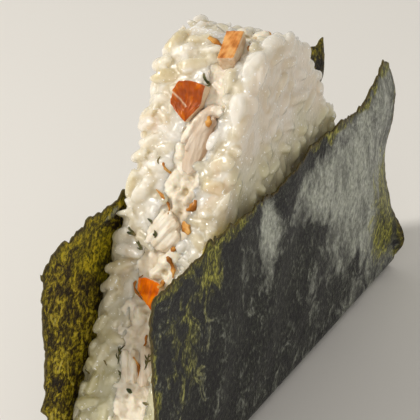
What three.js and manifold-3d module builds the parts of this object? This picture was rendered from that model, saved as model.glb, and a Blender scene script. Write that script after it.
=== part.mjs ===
// An onigiri: a triangular sandwich of two pressed rice layers round a smoked-chicken filling, standing
// in one folded sheet of nori. Millimetres; +Z up, +X along the base, +Y from the front face to the back.
// The origin is the middle of the flat underside, on the surface that the onigiri stands on.
import * as THREE from "three";
import { mergeVertices } from "three/addons/utils/BufferGeometryUtils.js";
import Module from "manifold-3d";

const wasm = await Module();
wasm.setup();

// ---------------------------------------------------------------- driving dimensions
const BASE_LENGTH = 98.4; // between the two base vertices, before they are rounded
const SIDE_ANGLE = THREE.MathUtils.degToRad(59); // of each slanted side above the base
const APEX_RADIUS = 12.5;
const CORNER_RADIUS = 7;
const RICE_THICKNESS = 20.8; // front face to back face, grains included
const EDGE_ROUND = 3; // rounding between a face and the slanted sides
const FILLING = { front: -3.9, back: 2.9, swell: 0.9, swellEvery: 34, widestAt: 34, sunk: 0.9 };
const APEX_LEAN = { from: 54, to: 68, front: -2.2, back: -4.6 }; // how the filling moves over near the apex
const GAP = 0.3; // between touching pieces
const NORI = { length: 93.5, height: 46.8, thickness: 0.5, foldRadius: 2.6 };
const GRAIN = { length: 7.2, width: 3.3, depth: 2.6 };
const PROUD = { rim: 1.0, face: 0.6 }; // how far grains stand out of the rice's core
const SEED = 11;

const HALF_BASE = BASE_LENGTH / 2;
const HALF_RICE = RICE_THICKNESS / 2;
const HALF_APEX_ANGLE = Math.PI / 2 - SIDE_ANGLE;
const RICE_BOTTOM = NORI.thickness + GAP;
const VERTEX_HEIGHT = RICE_BOTTOM + HALF_BASE * Math.tan(SIDE_ANGLE);
const CORE_HALF = HALF_RICE - PROUD.face;
const APEX_CENTRE = VERTEX_HEIGHT - APEX_RADIUS / Math.sin(HALF_APEX_ANGLE);
const CORNER_CENTRE = HALF_BASE - CORNER_RADIUS / Math.tan(SIDE_ANGLE / 2);

// ---------------------------------------------------------------- small helpers
// A repeatable stream of numbers from 0 to 1.
function randomStream(seed) {
  let state = seed >>> 0;
  return () => {
    state = (state + 0x6d2b79f5) >>> 0;
    let t = Math.imul(state ^ (state >>> 15), 1 | state);
    t = (t + Math.imul(t ^ (t >>> 7), 61 | t)) ^ t;
    return ((t ^ (t >>> 14)) >>> 0) / 4294967296;
  };
}

// A closed geometry, placed by a matrix, as a solid that can be joined and cut.
function solidOf(geometry, matrix = new THREE.Matrix4()) {
  const bare = geometry.clone().applyMatrix4(matrix);
  bare.deleteAttribute("normal");
  bare.deleteAttribute("uv");
  const merged = mergeVertices(bare, 1e-4);
  const mesh = new wasm.Mesh({
    numProp: 3,
    vertProperties: new Float32Array(merged.attributes.position.array),
    triVerts: new Uint32Array(merged.index.array),
  });
  return new wasm.Manifold(mesh);
}

// The largest body of a solid as a geometry; loose scraps are dropped.
function geometryOf(solid) {
  const largest = solid.decompose().reduce((a, b) => (b.volume() > a.volume() ? b : a));
  const mesh = largest.getMesh();
  const geometry = new THREE.BufferGeometry();
  geometry.setAttribute("position", new THREE.BufferAttribute(mesh.vertProperties, 3));
  geometry.setIndex(new THREE.BufferAttribute(mesh.triVerts, 1));
  geometry.computeVertexNormals();
  return geometry;
}

const joinAll = (solid, others) => others.reduce((whole, other) => whole.add(other), solid);
const cutAll = (solid, others) => others.reduce((left, other) => left.subtract(other), solid);

// A closed skin between two grids of points, both split into triangles alike.
// point(i, j, side) gives a Vector3; side is 0 on the lower skin and 1 on the upper.
function skinBetween(columns, rows, point) {
  const positions = [];
  const index = [];
  for (const side of [0, 1])
    for (let j = 0; j <= rows; j++)
      for (let i = 0; i <= columns; i++) positions.push(...point(i, j, side).toArray());
  const at = (i, j, side) => (side * (rows + 1) + j) * (columns + 1) + i;
  const quad = (a, b, c, d) => index.push(a, b, c, a, c, d);
  for (let j = 0; j < rows; j++)
    for (let i = 0; i < columns; i++) {
      quad(at(i, j, 1), at(i + 1, j, 1), at(i + 1, j + 1, 1), at(i, j + 1, 1));
      index.push(at(i, j, 0), at(i + 1, j + 1, 0), at(i + 1, j, 0));
      index.push(at(i, j, 0), at(i, j + 1, 0), at(i + 1, j + 1, 0));
    }
  for (let i = 0; i < columns; i++) {
    quad(at(i, 0, 0), at(i + 1, 0, 0), at(i + 1, 0, 1), at(i, 0, 1));
    quad(at(i + 1, rows, 0), at(i, rows, 0), at(i, rows, 1), at(i + 1, rows, 1));
  }
  for (let j = 0; j < rows; j++) {
    quad(at(0, j + 1, 0), at(0, j, 0), at(0, j, 1), at(0, j + 1, 1));
    quad(at(columns, j, 0), at(columns, j + 1, 0), at(columns, j + 1, 1), at(columns, j, 1));
  }
  const geometry = new THREE.BufferGeometry();
  geometry.setAttribute("position", new THREE.Float32BufferAttribute(positions, 3));
  geometry.setIndex(index);
  return geometry;
}

// ---------------------------------------------------------------- the rounded triangle
// Round the rim from the right base corner over the apex to the left one, drawn in by an inset.
function rimPath(inset) {
  const rightNormal = Math.PI / 2 - SIDE_ANGLE;
  const leftNormal = Math.PI / 2 + SIDE_ANGLE;
  const cornerZ = RICE_BOTTOM + CORNER_RADIUS;
  return new THREE.Path()
    .absarc(CORNER_CENTRE, cornerZ, CORNER_RADIUS - inset, -Math.PI / 2, rightNormal)
    .absarc(0, APEX_CENTRE, APEX_RADIUS - inset, rightNormal, leftNormal)
    .absarc(-CORNER_CENTRE, cornerZ, CORNER_RADIUS - inset, leftNormal, 1.5 * Math.PI);
}

// The triangle as a slab with rounded edges, standing in the XZ plane. However far its rim is drawn in,
// it still reaches down to the nori.
function slab(inset) {
  const outline = new THREE.Shape(rimPath(inset).getPoints(6));
  const geometry = new THREE.ExtrudeGeometry(outline, {
    depth: 2 * (CORE_HALF - EDGE_ROUND),
    bevelThickness: EDGE_ROUND,
    bevelSize: EDGE_ROUND,
    bevelOffset: -EDGE_ROUND,
    bevelSegments: 3,
  });
  geometry.translate(0, -inset, EDGE_ROUND - CORE_HALF).rotateX(Math.PI / 2);
  return solidOf(geometry);
}

// Half the width of the rice at a height.
function riceReach(z) {
  return Math.min((VERTEX_HEIGHT - z) / Math.tan(SIDE_ANGLE), HALF_BASE - 0.7 * CORNER_RADIUS);
}

// ---------------------------------------------------------------- rice grains
const grainGeometry = new THREE.SphereGeometry(0.5, 6, 3).scale(GRAIN.width, GRAIN.length, GRAIN.depth);

// One grain lying on a surface: its long axis turned in the surface, its depth along the normal.
function grainAt(place, normal, turn, proud, size) {
  const frame = new THREE.Quaternion().setFromUnitVectors(new THREE.Vector3(0, 0, 1), normal);
  frame.multiply(new THREE.Quaternion().setFromAxisAngle(new THREE.Vector3(0, 0, 1), turn));
  const centre = place.clone().addScaledVector(normal, proud - (GRAIN.depth * size) / 2);
  const matrix = new THREE.Matrix4().compose(centre, frame, new THREE.Vector3(size, size, size));
  return solidOf(grainGeometry, matrix);
}

// Grains in two rows round the rim of one layer, apart from the underside, which the nori hides.
// sign is -1 for the front layer and +1 for the back.
function rimGrains(sign, random) {
  const ROWS = [0.26, 0.84];
  const STEP = 6.1;
  const rim = rimPath(PROUD.rim);
  const count = Math.round(rim.getLength() / STEP);
  const grains = [];
  for (const row of ROWS)
    for (let i = 0; i < count; i++) {
      const t = Math.min(0.999, (i + row + 0.3 * (random() - 0.5)) / count);
      const point = rim.getPoint(t);
      const along = rim.getTangent(t);
      const inner = sign * fillingSurface(sign, point.x, point.y);
      const depth = THREE.MathUtils.lerp(inner, CORE_HALF, row + 0.16 * (random() - 0.5));
      const past = Math.max(0, (depth - CORE_HALF + EDGE_ROUND) / EDGE_ROUND);
      const outward = new THREE.Vector2(along.y, -along.x);
      point.addScaledVector(outward, -EDGE_ROUND * (1 - Math.sqrt(1 - past * past)));
      const normal = new THREE.Vector3(outward.x, sign * past, outward.y).normalize();
      const place = new THREE.Vector3(point.x, sign * depth, point.y);
      const [turn, proud, size] = [Math.PI * random(), 0.6 + 0.4 * random(), 0.9 + 0.2 * random()];
      if (outward.y > -0.3) grains.push(grainAt(place, normal, turn, PROUD.rim * proud, size));
    }
  return grains;
}

// Grains pressed flat into one face, from just under the nori's top edge up to the apex.
function faceGrains(sign, random) {
  const STEP_X = 6.6;
  const STEP_Z = 5.2;
  const grains = [];
  for (let row = 0, z = NORI.height - 1; z < APEX_CENTRE + 4; row++, z += STEP_Z) {
    const reach = riceReach(z) - EDGE_ROUND - 1.5;
    for (let x = -reach + (row % 2) * STEP_X * 0.5; x <= reach; x += STEP_X) {
      const jitter = () => random() - 0.5;
      const place = new THREE.Vector3(x + 1.4 * jitter(), sign * CORE_HALF, z + 1.4 * jitter());
      const normal = new THREE.Vector3(0.2 * jitter(), sign, 0.2 * jitter()).normalize();
      const [turn, proud, size] = [Math.PI * random(), 0.5 + 0.5 * random(), 0.9 + 0.2 * random()];
      grains.push(grainAt(place, normal, turn, PROUD.face * proud, size));
    }
  }
  return grains;
}

// ---------------------------------------------------------------- filling
// The Y of the filling's surface at a place. It is spread unevenly: its back swells and thins in z, and
// near the apex the whole layer leans towards the front.
function fillingSurface(sign, x, z) {
  const ripple = 0.3 * Math.sin(0.22 * x + 0.13 * z);
  const lean = THREE.MathUtils.smoothstep(z, APEX_LEAN.from, APEX_LEAN.to);
  if (sign < 0) return FILLING.front + APEX_LEAN.front * lean + ripple;
  const turn = (2 * Math.PI * (z - FILLING.widestAt)) / FILLING.swellEvery;
  return FILLING.back + FILLING.swell * Math.cos(turn) + APEX_LEAN.back * lean + ripple;
}

// The slab of space that the filling takes between the rice layers, grown by a gap.
function fillingSpace(grow) {
  const COLUMNS = 10;
  const ROWS = 12;
  return solidOf(
    skinBetween(COLUMNS, ROWS, (i, j, side) => {
      const x = THREE.MathUtils.lerp(-HALF_BASE - 3, HALF_BASE + 3, i / COLUMNS);
      const z = THREE.MathUtils.lerp(-4, VERTEX_HEIGHT, j / ROWS);
      const sign = side === 1 ? -1 : 1;
      return new THREE.Vector3(x, fillingSurface(sign, x, z) + sign * grow, z);
    }),
  );
}

// Creamy lumps that stand out of the filling's two slanted sides.
function creamLumps(random) {
  const STEP = 9;
  const rim = rimPath(FILLING.sunk + 1.2);
  const count = Math.round(rim.getLength() / STEP);
  const lumps = [];
  for (let i = 0; i < count; i++) {
    const point = rim.getPoint((i + 0.2 + 0.6 * random()) / count);
    const front = fillingSurface(-1, point.x, point.y) + 1.4;
    const y = THREE.MathUtils.lerp(front, fillingSurface(1, point.x, point.y) - 1, random());
    const size = new THREE.Vector3(5 + random(), 3.8 + random(), 4 + random());
    const turn = new THREE.Quaternion().setFromEuler(new THREE.Euler(0, Math.PI * random(), random()));
    const matrix = new THREE.Matrix4().compose(new THREE.Vector3(point.x, y, point.y), turn, size);
    if (point.y > CORNER_RADIUS) lumps.push(solidOf(new THREE.SphereGeometry(0.5, 6, 4), matrix));
  }
  return lumps;
}

// ---------------------------------------------------------------- smoked chicken pieces
// An outline cut to one thickness, with a small bevel, about its own middle.
function cut(points, thickness) {
  const BEVEL = 0.3;
  return new THREE.ExtrudeGeometry(new THREE.Shape(points), {
    depth: thickness - 2 * BEVEL,
    bevelThickness: BEVEL,
    bevelSize: BEVEL,
    bevelOffset: -BEVEL,
    bevelSegments: 1,
  }).translate(0, 0, BEVEL - thickness / 2);
}

// A kite of browned meat, point down, with a shoulder on each side.
function wedge(width, length, thickness) {
  const outline = [
    new THREE.Vector2(0.02 * width, -0.5 * length),
    new THREE.Vector2(0.5 * width, 0.34 * length),
    new THREE.Vector2(0.3 * width, 0.46 * length),
    new THREE.Vector2(-0.2 * width, 0.5 * length),
    new THREE.Vector2(-0.5 * width, 0.12 * length),
  ];
  return cut(outline, thickness);
}

// A knife-cut cube, a little out of square.
function cube(width, length, thickness) {
  const outline = [
    new THREE.Vector2(-0.5 * width, -0.42 * length),
    new THREE.Vector2(0.42 * width, -0.5 * length),
    new THREE.Vector2(0.5 * width, 0.44 * length),
    new THREE.Vector2(-0.4 * width, 0.5 * length),
  ];
  return cut(outline, thickness);
}

// A torn strip of breast meat: a long rounded lump that tapers to both ends.
function strip(width, length, thickness) {
  return new THREE.SphereGeometry(0.5, 8, 6).scale(width, length, thickness);
}

// A piece of chicken and its place. side: -1 the left slanted side, +1 the right. along: up the slope from
// the base vertex. across: in +Y. proud: how far it stands out. turn: about the slope's normal, in degrees.
function chicken(name, shape, side, along, across, proud, turn) {
  return { name, shape, side, along, across, proud, turn };
}

const CHICKEN = [
  chicken("chicken_cube_apex", cube(4.3, 6.6, 5), -1, 82.7, -3.9, 0.8, 4),
  chicken("chicken_wedge_upper", wedge(6.4, 7.4, 4), -1, 71.9, 1.1, 0.6, -2),
  chicken("chicken_strip_upper", strip(4.2, 11.4, 4.4), -1, 66.2, -1.6, 0.2, -8),
  chicken("chicken_strip_middle", strip(5.2, 9.6, 4.6), -1, 49.2, -0.4, 0.3, 24),
  chicken("chicken_wedge_lower", wedge(4.7, 5.4, 3.6), -1, 38.6, 0.5, 0.4, 6),
  chicken("chicken_strip_lower", strip(4, 9, 4.2), -1, 26.2, -0.4, 0.2, -6),
  chicken("chicken_wedge_far", wedge(5.6, 6.6, 4), 1, 70.5, -0.6, 0.6, 20),
  chicken("chicken_strip_far", strip(4.4, 10.4, 4.4), 1, 57.5, -1, 0.2, 10),
  chicken("chicken_cube_far", cube(4.2, 5.2, 4.6), 1, 43.4, 0.6, 0.2, -18),
  chicken("chicken_strip_far_low", strip(4, 9, 4.2), 1, 28.5, -0.6, 0.2, 4),
];

// A piece's place: on its slanted side or, above the point where the apex begins to round, on that.
function chickenMatrix({ side, along, across, proud, turn, shape }, grow = 0) {
  shape.computeBoundingBox();
  const size = shape.boundingBox.getSize(new THREE.Vector3());
  const straight = HALF_BASE / Math.cos(SIDE_ANGLE) - APEX_RADIUS / Math.tan(HALF_APEX_ANGLE);
  const bend = Math.min(Math.max(0, along - straight) / APEX_RADIUS, SIDE_ANGLE);
  const slope = SIDE_ANGLE - bend;
  const up = new THREE.Vector3(-side * Math.cos(slope), 0, Math.sin(slope));
  const normal = new THREE.Vector3(side * Math.sin(slope), 0, Math.cos(slope));
  const centre = new THREE.Vector3(side * HALF_BASE, across, RICE_BOTTOM).addScaledVector(up, along);
  if (bend > 0) centre.set(0, across, APEX_CENTRE).addScaledVector(normal, APEX_RADIUS);
  centre.addScaledVector(normal, proud - size.z / 2);
  const basis = new THREE.Matrix4().makeBasis(new THREE.Vector3().crossVectors(up, normal), up, normal);
  const frame = new THREE.Quaternion().setFromRotationMatrix(basis);
  const spin = THREE.MathUtils.degToRad(turn);
  frame.multiply(new THREE.Quaternion().setFromAxisAngle(new THREE.Vector3(0, 0, 1), spin));
  const scale = new THREE.Vector3(1, 1, 1).addScaledVector(new THREE.Vector3(1, 1, 1).divide(size), 2 * grow);
  return new THREE.Matrix4().compose(centre, frame, scale);
}

// ---------------------------------------------------------------- nori
// The sum of smooth bumps at a place, each by so many millimetres.
function bumpsAt(place, bumps) {
  return bumps.reduce((sum, { by, at, spread }) => sum + by * Math.exp(-(((place - at) / spread) ** 2)), 0);
}

// How each free end of a flap bends away from the rice (+) or in past it (-), as bumps in z.
const END_BENDS = {
  frontLeft: [
    { by: 1.3, at: 48, spread: 5 },
    { by: 0.8, at: 30, spread: 16 },
  ],
  frontRight: [
    { by: 2.3, at: 7.5, spread: 5 },
    { by: -2.6, at: 25, spread: 10 },
    { by: -2, at: 48, spread: 5 },
  ],
  backLeft: [{ by: -1.8, at: 43, spread: 12 }],
  backRight: [{ by: -5.4, at: 44, spread: 14 }],
};

// How each flap's torn top edge rises above the sheet's height (+) or dips below it (-), as bumps in x.
const TORN_EDGE = {
  front: [
    { by: -0.9, at: -20, spread: 30 },
    { by: -1.3, at: -4, spread: 4 },
    { by: -2.2, at: 28.5, spread: 5 },
    { by: 2.2, at: 42.5, spread: 3.5 },
    { by: -1.3, at: -46.8, spread: 3 },
  ],
  back: [
    { by: -1, at: 0, spread: 90 },
    { by: 3, at: 47, spread: 8 },
    { by: -1.3, at: -46.8, spread: 3 },
  ],
};
const RAGGED = 1; // how unevenly the edge is torn, from its lowest point to its highest

// The outward set of a flap away from the rice's face, at a place on it.
function flapSet(sign, x, z) {
  const free = Math.max(0, Math.abs(x) - riceReach(z)) / (NORI.length / 2 - riceReach(z));
  const name = (sign < 0 ? "front" : "back") + (x < 0 ? "Left" : "Right");
  const bend = bumpsAt(z, END_BENDS[name]);
  const wave = 0.4 + 0.25 * Math.sin(0.33 * x + 0.11 * z * sign) + 0.15 * Math.sin(0.19 * z - 0.41 * x);
  const smooth = THREE.MathUtils.smoothstep;
  const lift = sign < 0 ? 0.3 + wave : 0.5 * wave;
  return smooth(z, 3, 16) * lift * (1 - free) + smooth(z, 1, 6) * bend * free ** 1.5;
}

// The sheet's middle line across the fold, from the back flap's top to the front flap's top:
// {y, z} and the direction that faces out of the sheet. sign is 0 off the flaps.
function foldLine(flapSteps, foldSteps, underSteps) {
  const half = HALF_RICE + GAP + NORI.thickness / 2;
  const base = NORI.thickness / 2;
  const r = NORI.foldRadius;
  const count = (n, from) => Array.from({ length: n }, (_, k) => k + from);
  const flap = (sign, k) => {
    const z = THREE.MathUtils.lerp(base + r, NORI.height, k / flapSteps);
    return { y: sign * half, z, out: [sign, 0], sign, top: k === flapSteps };
  };
  const corner = (sign, k) => {
    const a = (Math.PI / 2) * (k / foldSteps);
    const out = [sign * Math.sin(a), -Math.cos(a)];
    return { y: sign * (half - r) + r * out[0], z: base + r + r * out[1], out, sign: 0, top: false };
  };
  const under = (k) => {
    const y = (half - r) * (1 - (2 * k) / underSteps);
    return { y, z: base, out: [0, -1], sign: 0, top: false };
  };
  return [
    ...count(flapSteps, 1).reverse().map((k) => flap(1, k)),
    ...count(foldSteps + 1, 0).reverse().map((k) => corner(1, k)),
    ...count(underSteps - 1, 1).map(under),
    ...count(foldSteps + 1, 0).map((k) => corner(-1, k)),
    ...count(flapSteps, 1).map((k) => flap(-1, k)),
  ];
}

// The folded sheet as a thin closed solid.
function noriSheet(thickness) {
  const COLUMNS = 17;
  const line = foldLine(9, 3, 3);
  const random = randomStream(SEED + 5);
  const ragged = Array.from({ length: 2 * (COLUMNS + 1) }, () => RAGGED * (random() - 0.5));
  return skinBetween(COLUMNS, line.length - 1, (i, j, side) => {
    const { y, z, out, sign, top } = line[j];
    const x = NORI.length * (i / COLUMNS - 0.5);
    const own = ragged[i + (sign > 0 ? COLUMNS + 1 : 0)];
    const rise = top ? own + bumpsAt(x, sign < 0 ? TORN_EDGE.front : TORN_EDGE.back) : 0;
    const set = sign === 0 ? 0 : sign * flapSet(sign, x, z);
    const half = (side === 1 ? 0.5 : -0.5) * thickness;
    return new THREE.Vector3(x, y + set + out[0] * half, z + rise + out[1] * half);
  });
}

// ---------------------------------------------------------------- assembly
const random = randomStream(SEED);
const noriSpace = solidOf(noriSheet(NORI.thickness + 2 * GAP));
const pockets = CHICKEN.map((piece) => solidOf(piece.shape, chickenMatrix(piece, GAP)));

// One rice layer. sign is -1 for the front layer and +1 for the back.
function riceLayer(sign) {
  const box = new THREE.BoxGeometry(3 * HALF_BASE, 2 * HALF_RICE, 3 * VERTEX_HEIGHT);
  const half = solidOf(box, new THREE.Matrix4().makeTranslation(0, sign * HALF_RICE, 0));
  const grains = [...rimGrains(sign, random), ...faceGrains(sign, random)];
  const rice = joinAll(slab(PROUD.rim), grains).intersect(half);
  return cutAll(rice, [fillingSpace(GAP), noriSpace, ...pockets]);
}

function fillingLayer() {
  const filling = joinAll(slab(FILLING.sunk), creamLumps(random)).intersect(fillingSpace(0));
  return cutAll(filling, [noriSpace, ...pockets]);
}

const material = (color, roughness) => new THREE.MeshStandardMaterial({ color, roughness, metalness: 0 });
const riceMaterial = material("#e6ded0", 0.42);
const fillingMaterial = material("#e4d8c0", 0.5);
const brownedMaterial = material("#c8691f", 0.35);
const meatMaterial = material("#dcc3ae", 0.5);
const noriMaterial = material("#252b22", 0.45);

const onigiri = new THREE.Group();

function addNode(name, geometry, nodeMaterial) {
  const mesh = new THREE.Mesh(geometry, nodeMaterial);
  mesh.name = name;
  onigiri.add(mesh);
}

addNode("nori", noriSheet(NORI.thickness), noriMaterial);
addNode("rice_front", geometryOf(riceLayer(-1)), riceMaterial);
addNode("rice_back", geometryOf(riceLayer(1)), riceMaterial);
addNode("filling", geometryOf(fillingLayer()), fillingMaterial);
for (const piece of CHICKEN) {
  const nodeMaterial = piece.name.includes("strip") ? meatMaterial : brownedMaterial;
  addNode(piece.name, geometryOf(solidOf(piece.shape, chickenMatrix(piece))), nodeMaterial);
}

export default onigiri;
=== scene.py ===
"""Dressed model of an onigiri: two pressed rice layers round a creamy smoked-chicken filling, in nori.

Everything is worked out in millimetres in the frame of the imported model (+X along the base, +Y from the
front face to the back one, +Z up) and turned to metres where a mesh is made.
"""

from __future__ import annotations

import logging
import math
from dataclasses import dataclass, field
from enum import Enum

import bpy
import numpy as np
from bpy.types import Material, NodeSocket, NodeTree, Object
from mathutils import Matrix, Vector
from mathutils.bvhtree import BVHTree
from mathutils.kdtree import KDTree
from numpy.random import Generator

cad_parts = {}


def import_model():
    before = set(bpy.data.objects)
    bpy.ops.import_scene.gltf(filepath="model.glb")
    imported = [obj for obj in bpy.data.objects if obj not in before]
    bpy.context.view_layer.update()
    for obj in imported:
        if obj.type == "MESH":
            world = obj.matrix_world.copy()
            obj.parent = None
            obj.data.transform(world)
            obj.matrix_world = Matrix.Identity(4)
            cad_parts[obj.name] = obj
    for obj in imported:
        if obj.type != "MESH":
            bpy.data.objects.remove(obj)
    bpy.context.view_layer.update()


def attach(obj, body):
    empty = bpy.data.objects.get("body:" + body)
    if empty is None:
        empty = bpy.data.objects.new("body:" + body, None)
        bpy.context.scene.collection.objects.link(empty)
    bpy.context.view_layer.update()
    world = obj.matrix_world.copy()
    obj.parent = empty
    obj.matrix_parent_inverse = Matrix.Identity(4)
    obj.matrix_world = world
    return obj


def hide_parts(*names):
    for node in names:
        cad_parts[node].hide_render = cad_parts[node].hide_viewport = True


LOG = logging.getLogger("onigiri")
MM = 0.001  # metres in a millimetre
BODY = "root"
Array = np.ndarray
Socketed = float | tuple | NodeSocket
Shape = tuple[Array, list]  # the points and the faces of a mesh
Pair = tuple[float, float]
Triple = tuple[float, float, float]


# ---------------------------------------------------------------- small helpers
def linear(colour: str) -> tuple[float, float, float, float]:
    """Turns an sRGB colour into Blender's linear one.

    Args:
        colour: six hex digits after a hash, such as "#e9e5da".

    Returns:
        Linear red, green and blue, and full opacity.
    """
    channels = (int(colour[i : i + 2], 16) / 255 for i in (1, 3, 5))
    red, green, blue = (c / 12.92 if c <= 0.04045 else ((c + 0.055) / 1.055) ** 2.4 for c in channels)
    return red, green, blue, 1.0


def each(size_mm: float) -> float:
    """Gives the texture scale that repeats a pattern every so many millimetres."""
    return 1 / (size_mm * MM)


def add_node(
    tree: NodeTree,
    kind: str,
    inputs: dict[str | int, Socketed] | None = None,
    output: str | int = 0,
    stops: list[tuple[float, str]] | None = None,
    **settings: object,
) -> NodeSocket:
    """Adds a node with its settings and links.

    Args:
        tree: the node tree to add to.
        kind: the node's type name, without the word ShaderNode that begins each.
        inputs: a value, or a socket to link from, for each input by name or number.
        output: the output that is wanted, by name or number.
        stops: the positions and hex colours of a colour ramp, where the node has one.
        settings: properties to set on the node.

    Returns:
        The output.
    """
    node = tree.nodes.new("ShaderNode" + kind)
    for name, value in settings.items():
        setattr(node, name, value)
    for key, value in (inputs or {}).items():
        if isinstance(value, NodeSocket):
            tree.links.new(value, node.inputs[key])
        else:
            node.inputs[key].default_value = value
    if stops:
        elements = node.color_ramp.elements
        while len(elements) < len(stops):
            elements.new(1.0)
        for element, (position, colour) in zip(elements, stops):
            element.position = position
            element.color = linear(colour)
    return node.outputs[output]


def smoothstep(value: Array, low: float, high: float) -> Array:
    """Rises smoothly from 0 at low to 1 at high."""
    t = np.clip((value - low) / (high - low), 0, 1)
    return t * t * (3 - 2 * t)


class LatticeNoise:
    """Repeatable smooth noise on arrays of points, about -1 to 1."""

    def __init__(self, seed: int) -> None:
        """Fills the table of lattice values from a seed."""
        self.table = np.random.default_rng(seed).uniform(-1, 1, 4096)

    def corner(self, cell: Array) -> Array:
        """Gives the lattice value at whole-number cells, one row for each."""
        key = cell[:, 0] * 73856093 ^ cell[:, 1] * 19349663 ^ cell[:, 2] * 83492791
        return self.table[key & 4095]

    def at(self, points: Array, size: float | Triple, octaves: int = 1) -> Array:
        """Samples the noise.

        Args:
            points: one row of x, y, z for each sample.
            size: the lattice spacing, in the points' unit, along each axis.
            octaves: how many times half-size noise of half strength is added.

        Returns:
            One value for each point.
        """
        total = np.zeros(len(points))
        for octave in range(octaves):
            q = points / (np.asarray(size, float) / 2**octave) + 17.3 * octave
            cell = np.floor(q).astype(np.int64)
            f = q - cell
            f = f * f * (3 - 2 * f)
            value = np.zeros(len(points))
            for corner in np.ndindex(2, 2, 2):
                weight = np.prod(np.where(np.array(corner) == 1, f, 1 - f), axis=1)
                value += weight * self.corner(cell + np.array(corner))
            total += value / 2**octave
        return total


def mesh_object(name: str, points: Array, faces: list, smooth: bool = True) -> Object:
    """Makes an object from points in millimetres.

    Args:
        name: the object's name.
        points: one row of x, y, z for each vertex.
        faces: lists of vertex numbers.
        smooth: whether its faces are shaded smooth.

    Returns:
        The new object, linked to the scene.
    """
    mesh = bpy.data.meshes.new(name)
    mesh.from_pydata((np.asarray(points) * MM).tolist(), [], faces)
    mesh.validate()
    mesh.polygons.foreach_set("use_smooth", [smooth] * len(mesh.polygons))
    thing = bpy.data.objects.new(name, mesh)
    bpy.context.scene.collection.objects.link(thing)
    return thing


def points_of(thing: Object) -> Array:
    """Reads an object's vertices.

    Args:
        thing: the mesh object.

    Returns:
        One row of x, y, z for each vertex, in millimetres.
    """
    flat = np.empty(len(thing.data.vertices) * 3, np.float32)
    thing.data.vertices.foreach_get("co", flat)
    return flat.reshape(-1, 3).astype(float) / MM


def normals_of(thing: Object) -> Array:
    """Reads an object's vertex normals.

    Args:
        thing: the mesh object.

    Returns:
        One unit vector for each vertex.
    """
    flat = np.empty(len(thing.data.vertices) * 3, np.float32)
    thing.data.vertex_normals.foreach_get("vector", flat)
    return flat.reshape(-1, 3).astype(float)


def move_points(thing: Object, points: Array) -> None:
    """Sets an object's vertices, given in millimetres."""
    thing.data.vertices.foreach_set("co", (points * MM).astype(np.float32).ravel())
    thing.data.update()


def triangles_in(thing: Object) -> int:
    """Counts the triangles that an object's faces make."""
    return len(thing.data.loops) - 2 * len(thing.data.polygons)


def write_attribute(thing: Object, name: str, values: Array) -> None:
    """Stores one number for each vertex under a name that a material can read."""
    layer = thing.data.attributes.new(name, "FLOAT", "POINT")
    layer.data.foreach_set("value", np.asarray(values, np.float32))


def write_vectors(thing: Object, name: str, places: Array) -> None:
    """Stores one place for each vertex, given in millimetres, under a name that a material can read."""
    layer = thing.data.attributes.new(name, "FLOAT_VECTOR", "POINT")
    layer.data.foreach_set("vector", (places * MM).astype(np.float32).ravel())


def apply_modifiers(thing: Object) -> None:
    """Replaces an object's mesh by what its modifiers make of it.

    Args:
        thing: the object, which loses its modifiers and vertex groups.
    """
    graph = bpy.context.evaluated_depsgraph_get()
    mesh = bpy.data.meshes.new_from_object(thing.evaluated_get(graph))
    thing.modifiers.clear()
    thing.vertex_groups.clear()
    old = thing.data
    thing.data = mesh
    bpy.data.meshes.remove(old)
    mesh.validate()
    mesh.polygons.foreach_set("use_smooth", [True] * len(mesh.polygons))


def fuse(thing: Object, voxel_mm: float, smoothing: int) -> None:
    """Fuses an object's overlapping bodies into one skin and rounds the creases where they stick.

    Args:
        thing: the object to fuse.
        voxel_mm: the size of detail that is kept.
        smoothing: how many rounds of smoothing follow.
    """
    remesh = thing.modifiers.new("fuse", "REMESH")
    remesh.mode = "VOXEL"
    remesh.voxel_size = voxel_mm * MM
    smooth = thing.modifiers.new("round", "SMOOTH")
    smooth.iterations = smoothing
    apply_modifiers(thing)


def thin_out(thing: Object, hidden: Array, ratio: float) -> None:
    """Collapses the mesh where it can't be seen.

    Args:
        thing: the object to simplify.
        hidden: 0 to 1 for each vertex, 1 where it may be simplified freely.
        ratio: the share of the triangles to keep.
    """
    group = thing.vertex_groups.new(name="hidden")
    step = 0.25
    for level in (step, 2 * step, 3 * step, 1.0):
        chosen = np.nonzero(np.abs(hidden - level) <= step / 2)[0]
        group.add(chosen.tolist(), level, "REPLACE")
    decimate = thing.modifiers.new("thin", "DECIMATE")
    decimate.ratio = ratio
    decimate.vertex_group = group.name
    apply_modifiers(thing)


def joined(parts: list[Shape]) -> Shape:
    """Puts several meshes together.

    Args:
        parts: the points and faces of each.

    Returns:
        All points, and all faces with their vertex numbers moved on.
    """
    points, faces, start = [], [], 0
    for part_points, part_faces in parts:
        points.append(part_points)
        faces.extend([[v + start for v in face] for face in part_faces])
        start += len(part_points)
    return np.concatenate(points), faces


def tube_faces(rings: int, around: int) -> list:
    """Joins rings of points, which follow one another, into a tube that is closed at both ends.

    Args:
        rings: how many rings there are.
        around: the points in each.

    Returns:
        The tube's faces.
    """
    faces = []
    for ring in range(rings - 1):
        for i in range(around):
            this, after = ring * around + i, ring * around + (i + 1) % around
            faces.append([this, after, after + around, this + around])
    last = (rings - 1) * around
    return [*faces, list(reversed(range(around))), [last + i for i in range(around)]]


def rows(kind: type, table: list[tuple]) -> list:
    """Makes one object of a kind from each row of a table."""
    return [kind(*row) for row in table]


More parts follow.
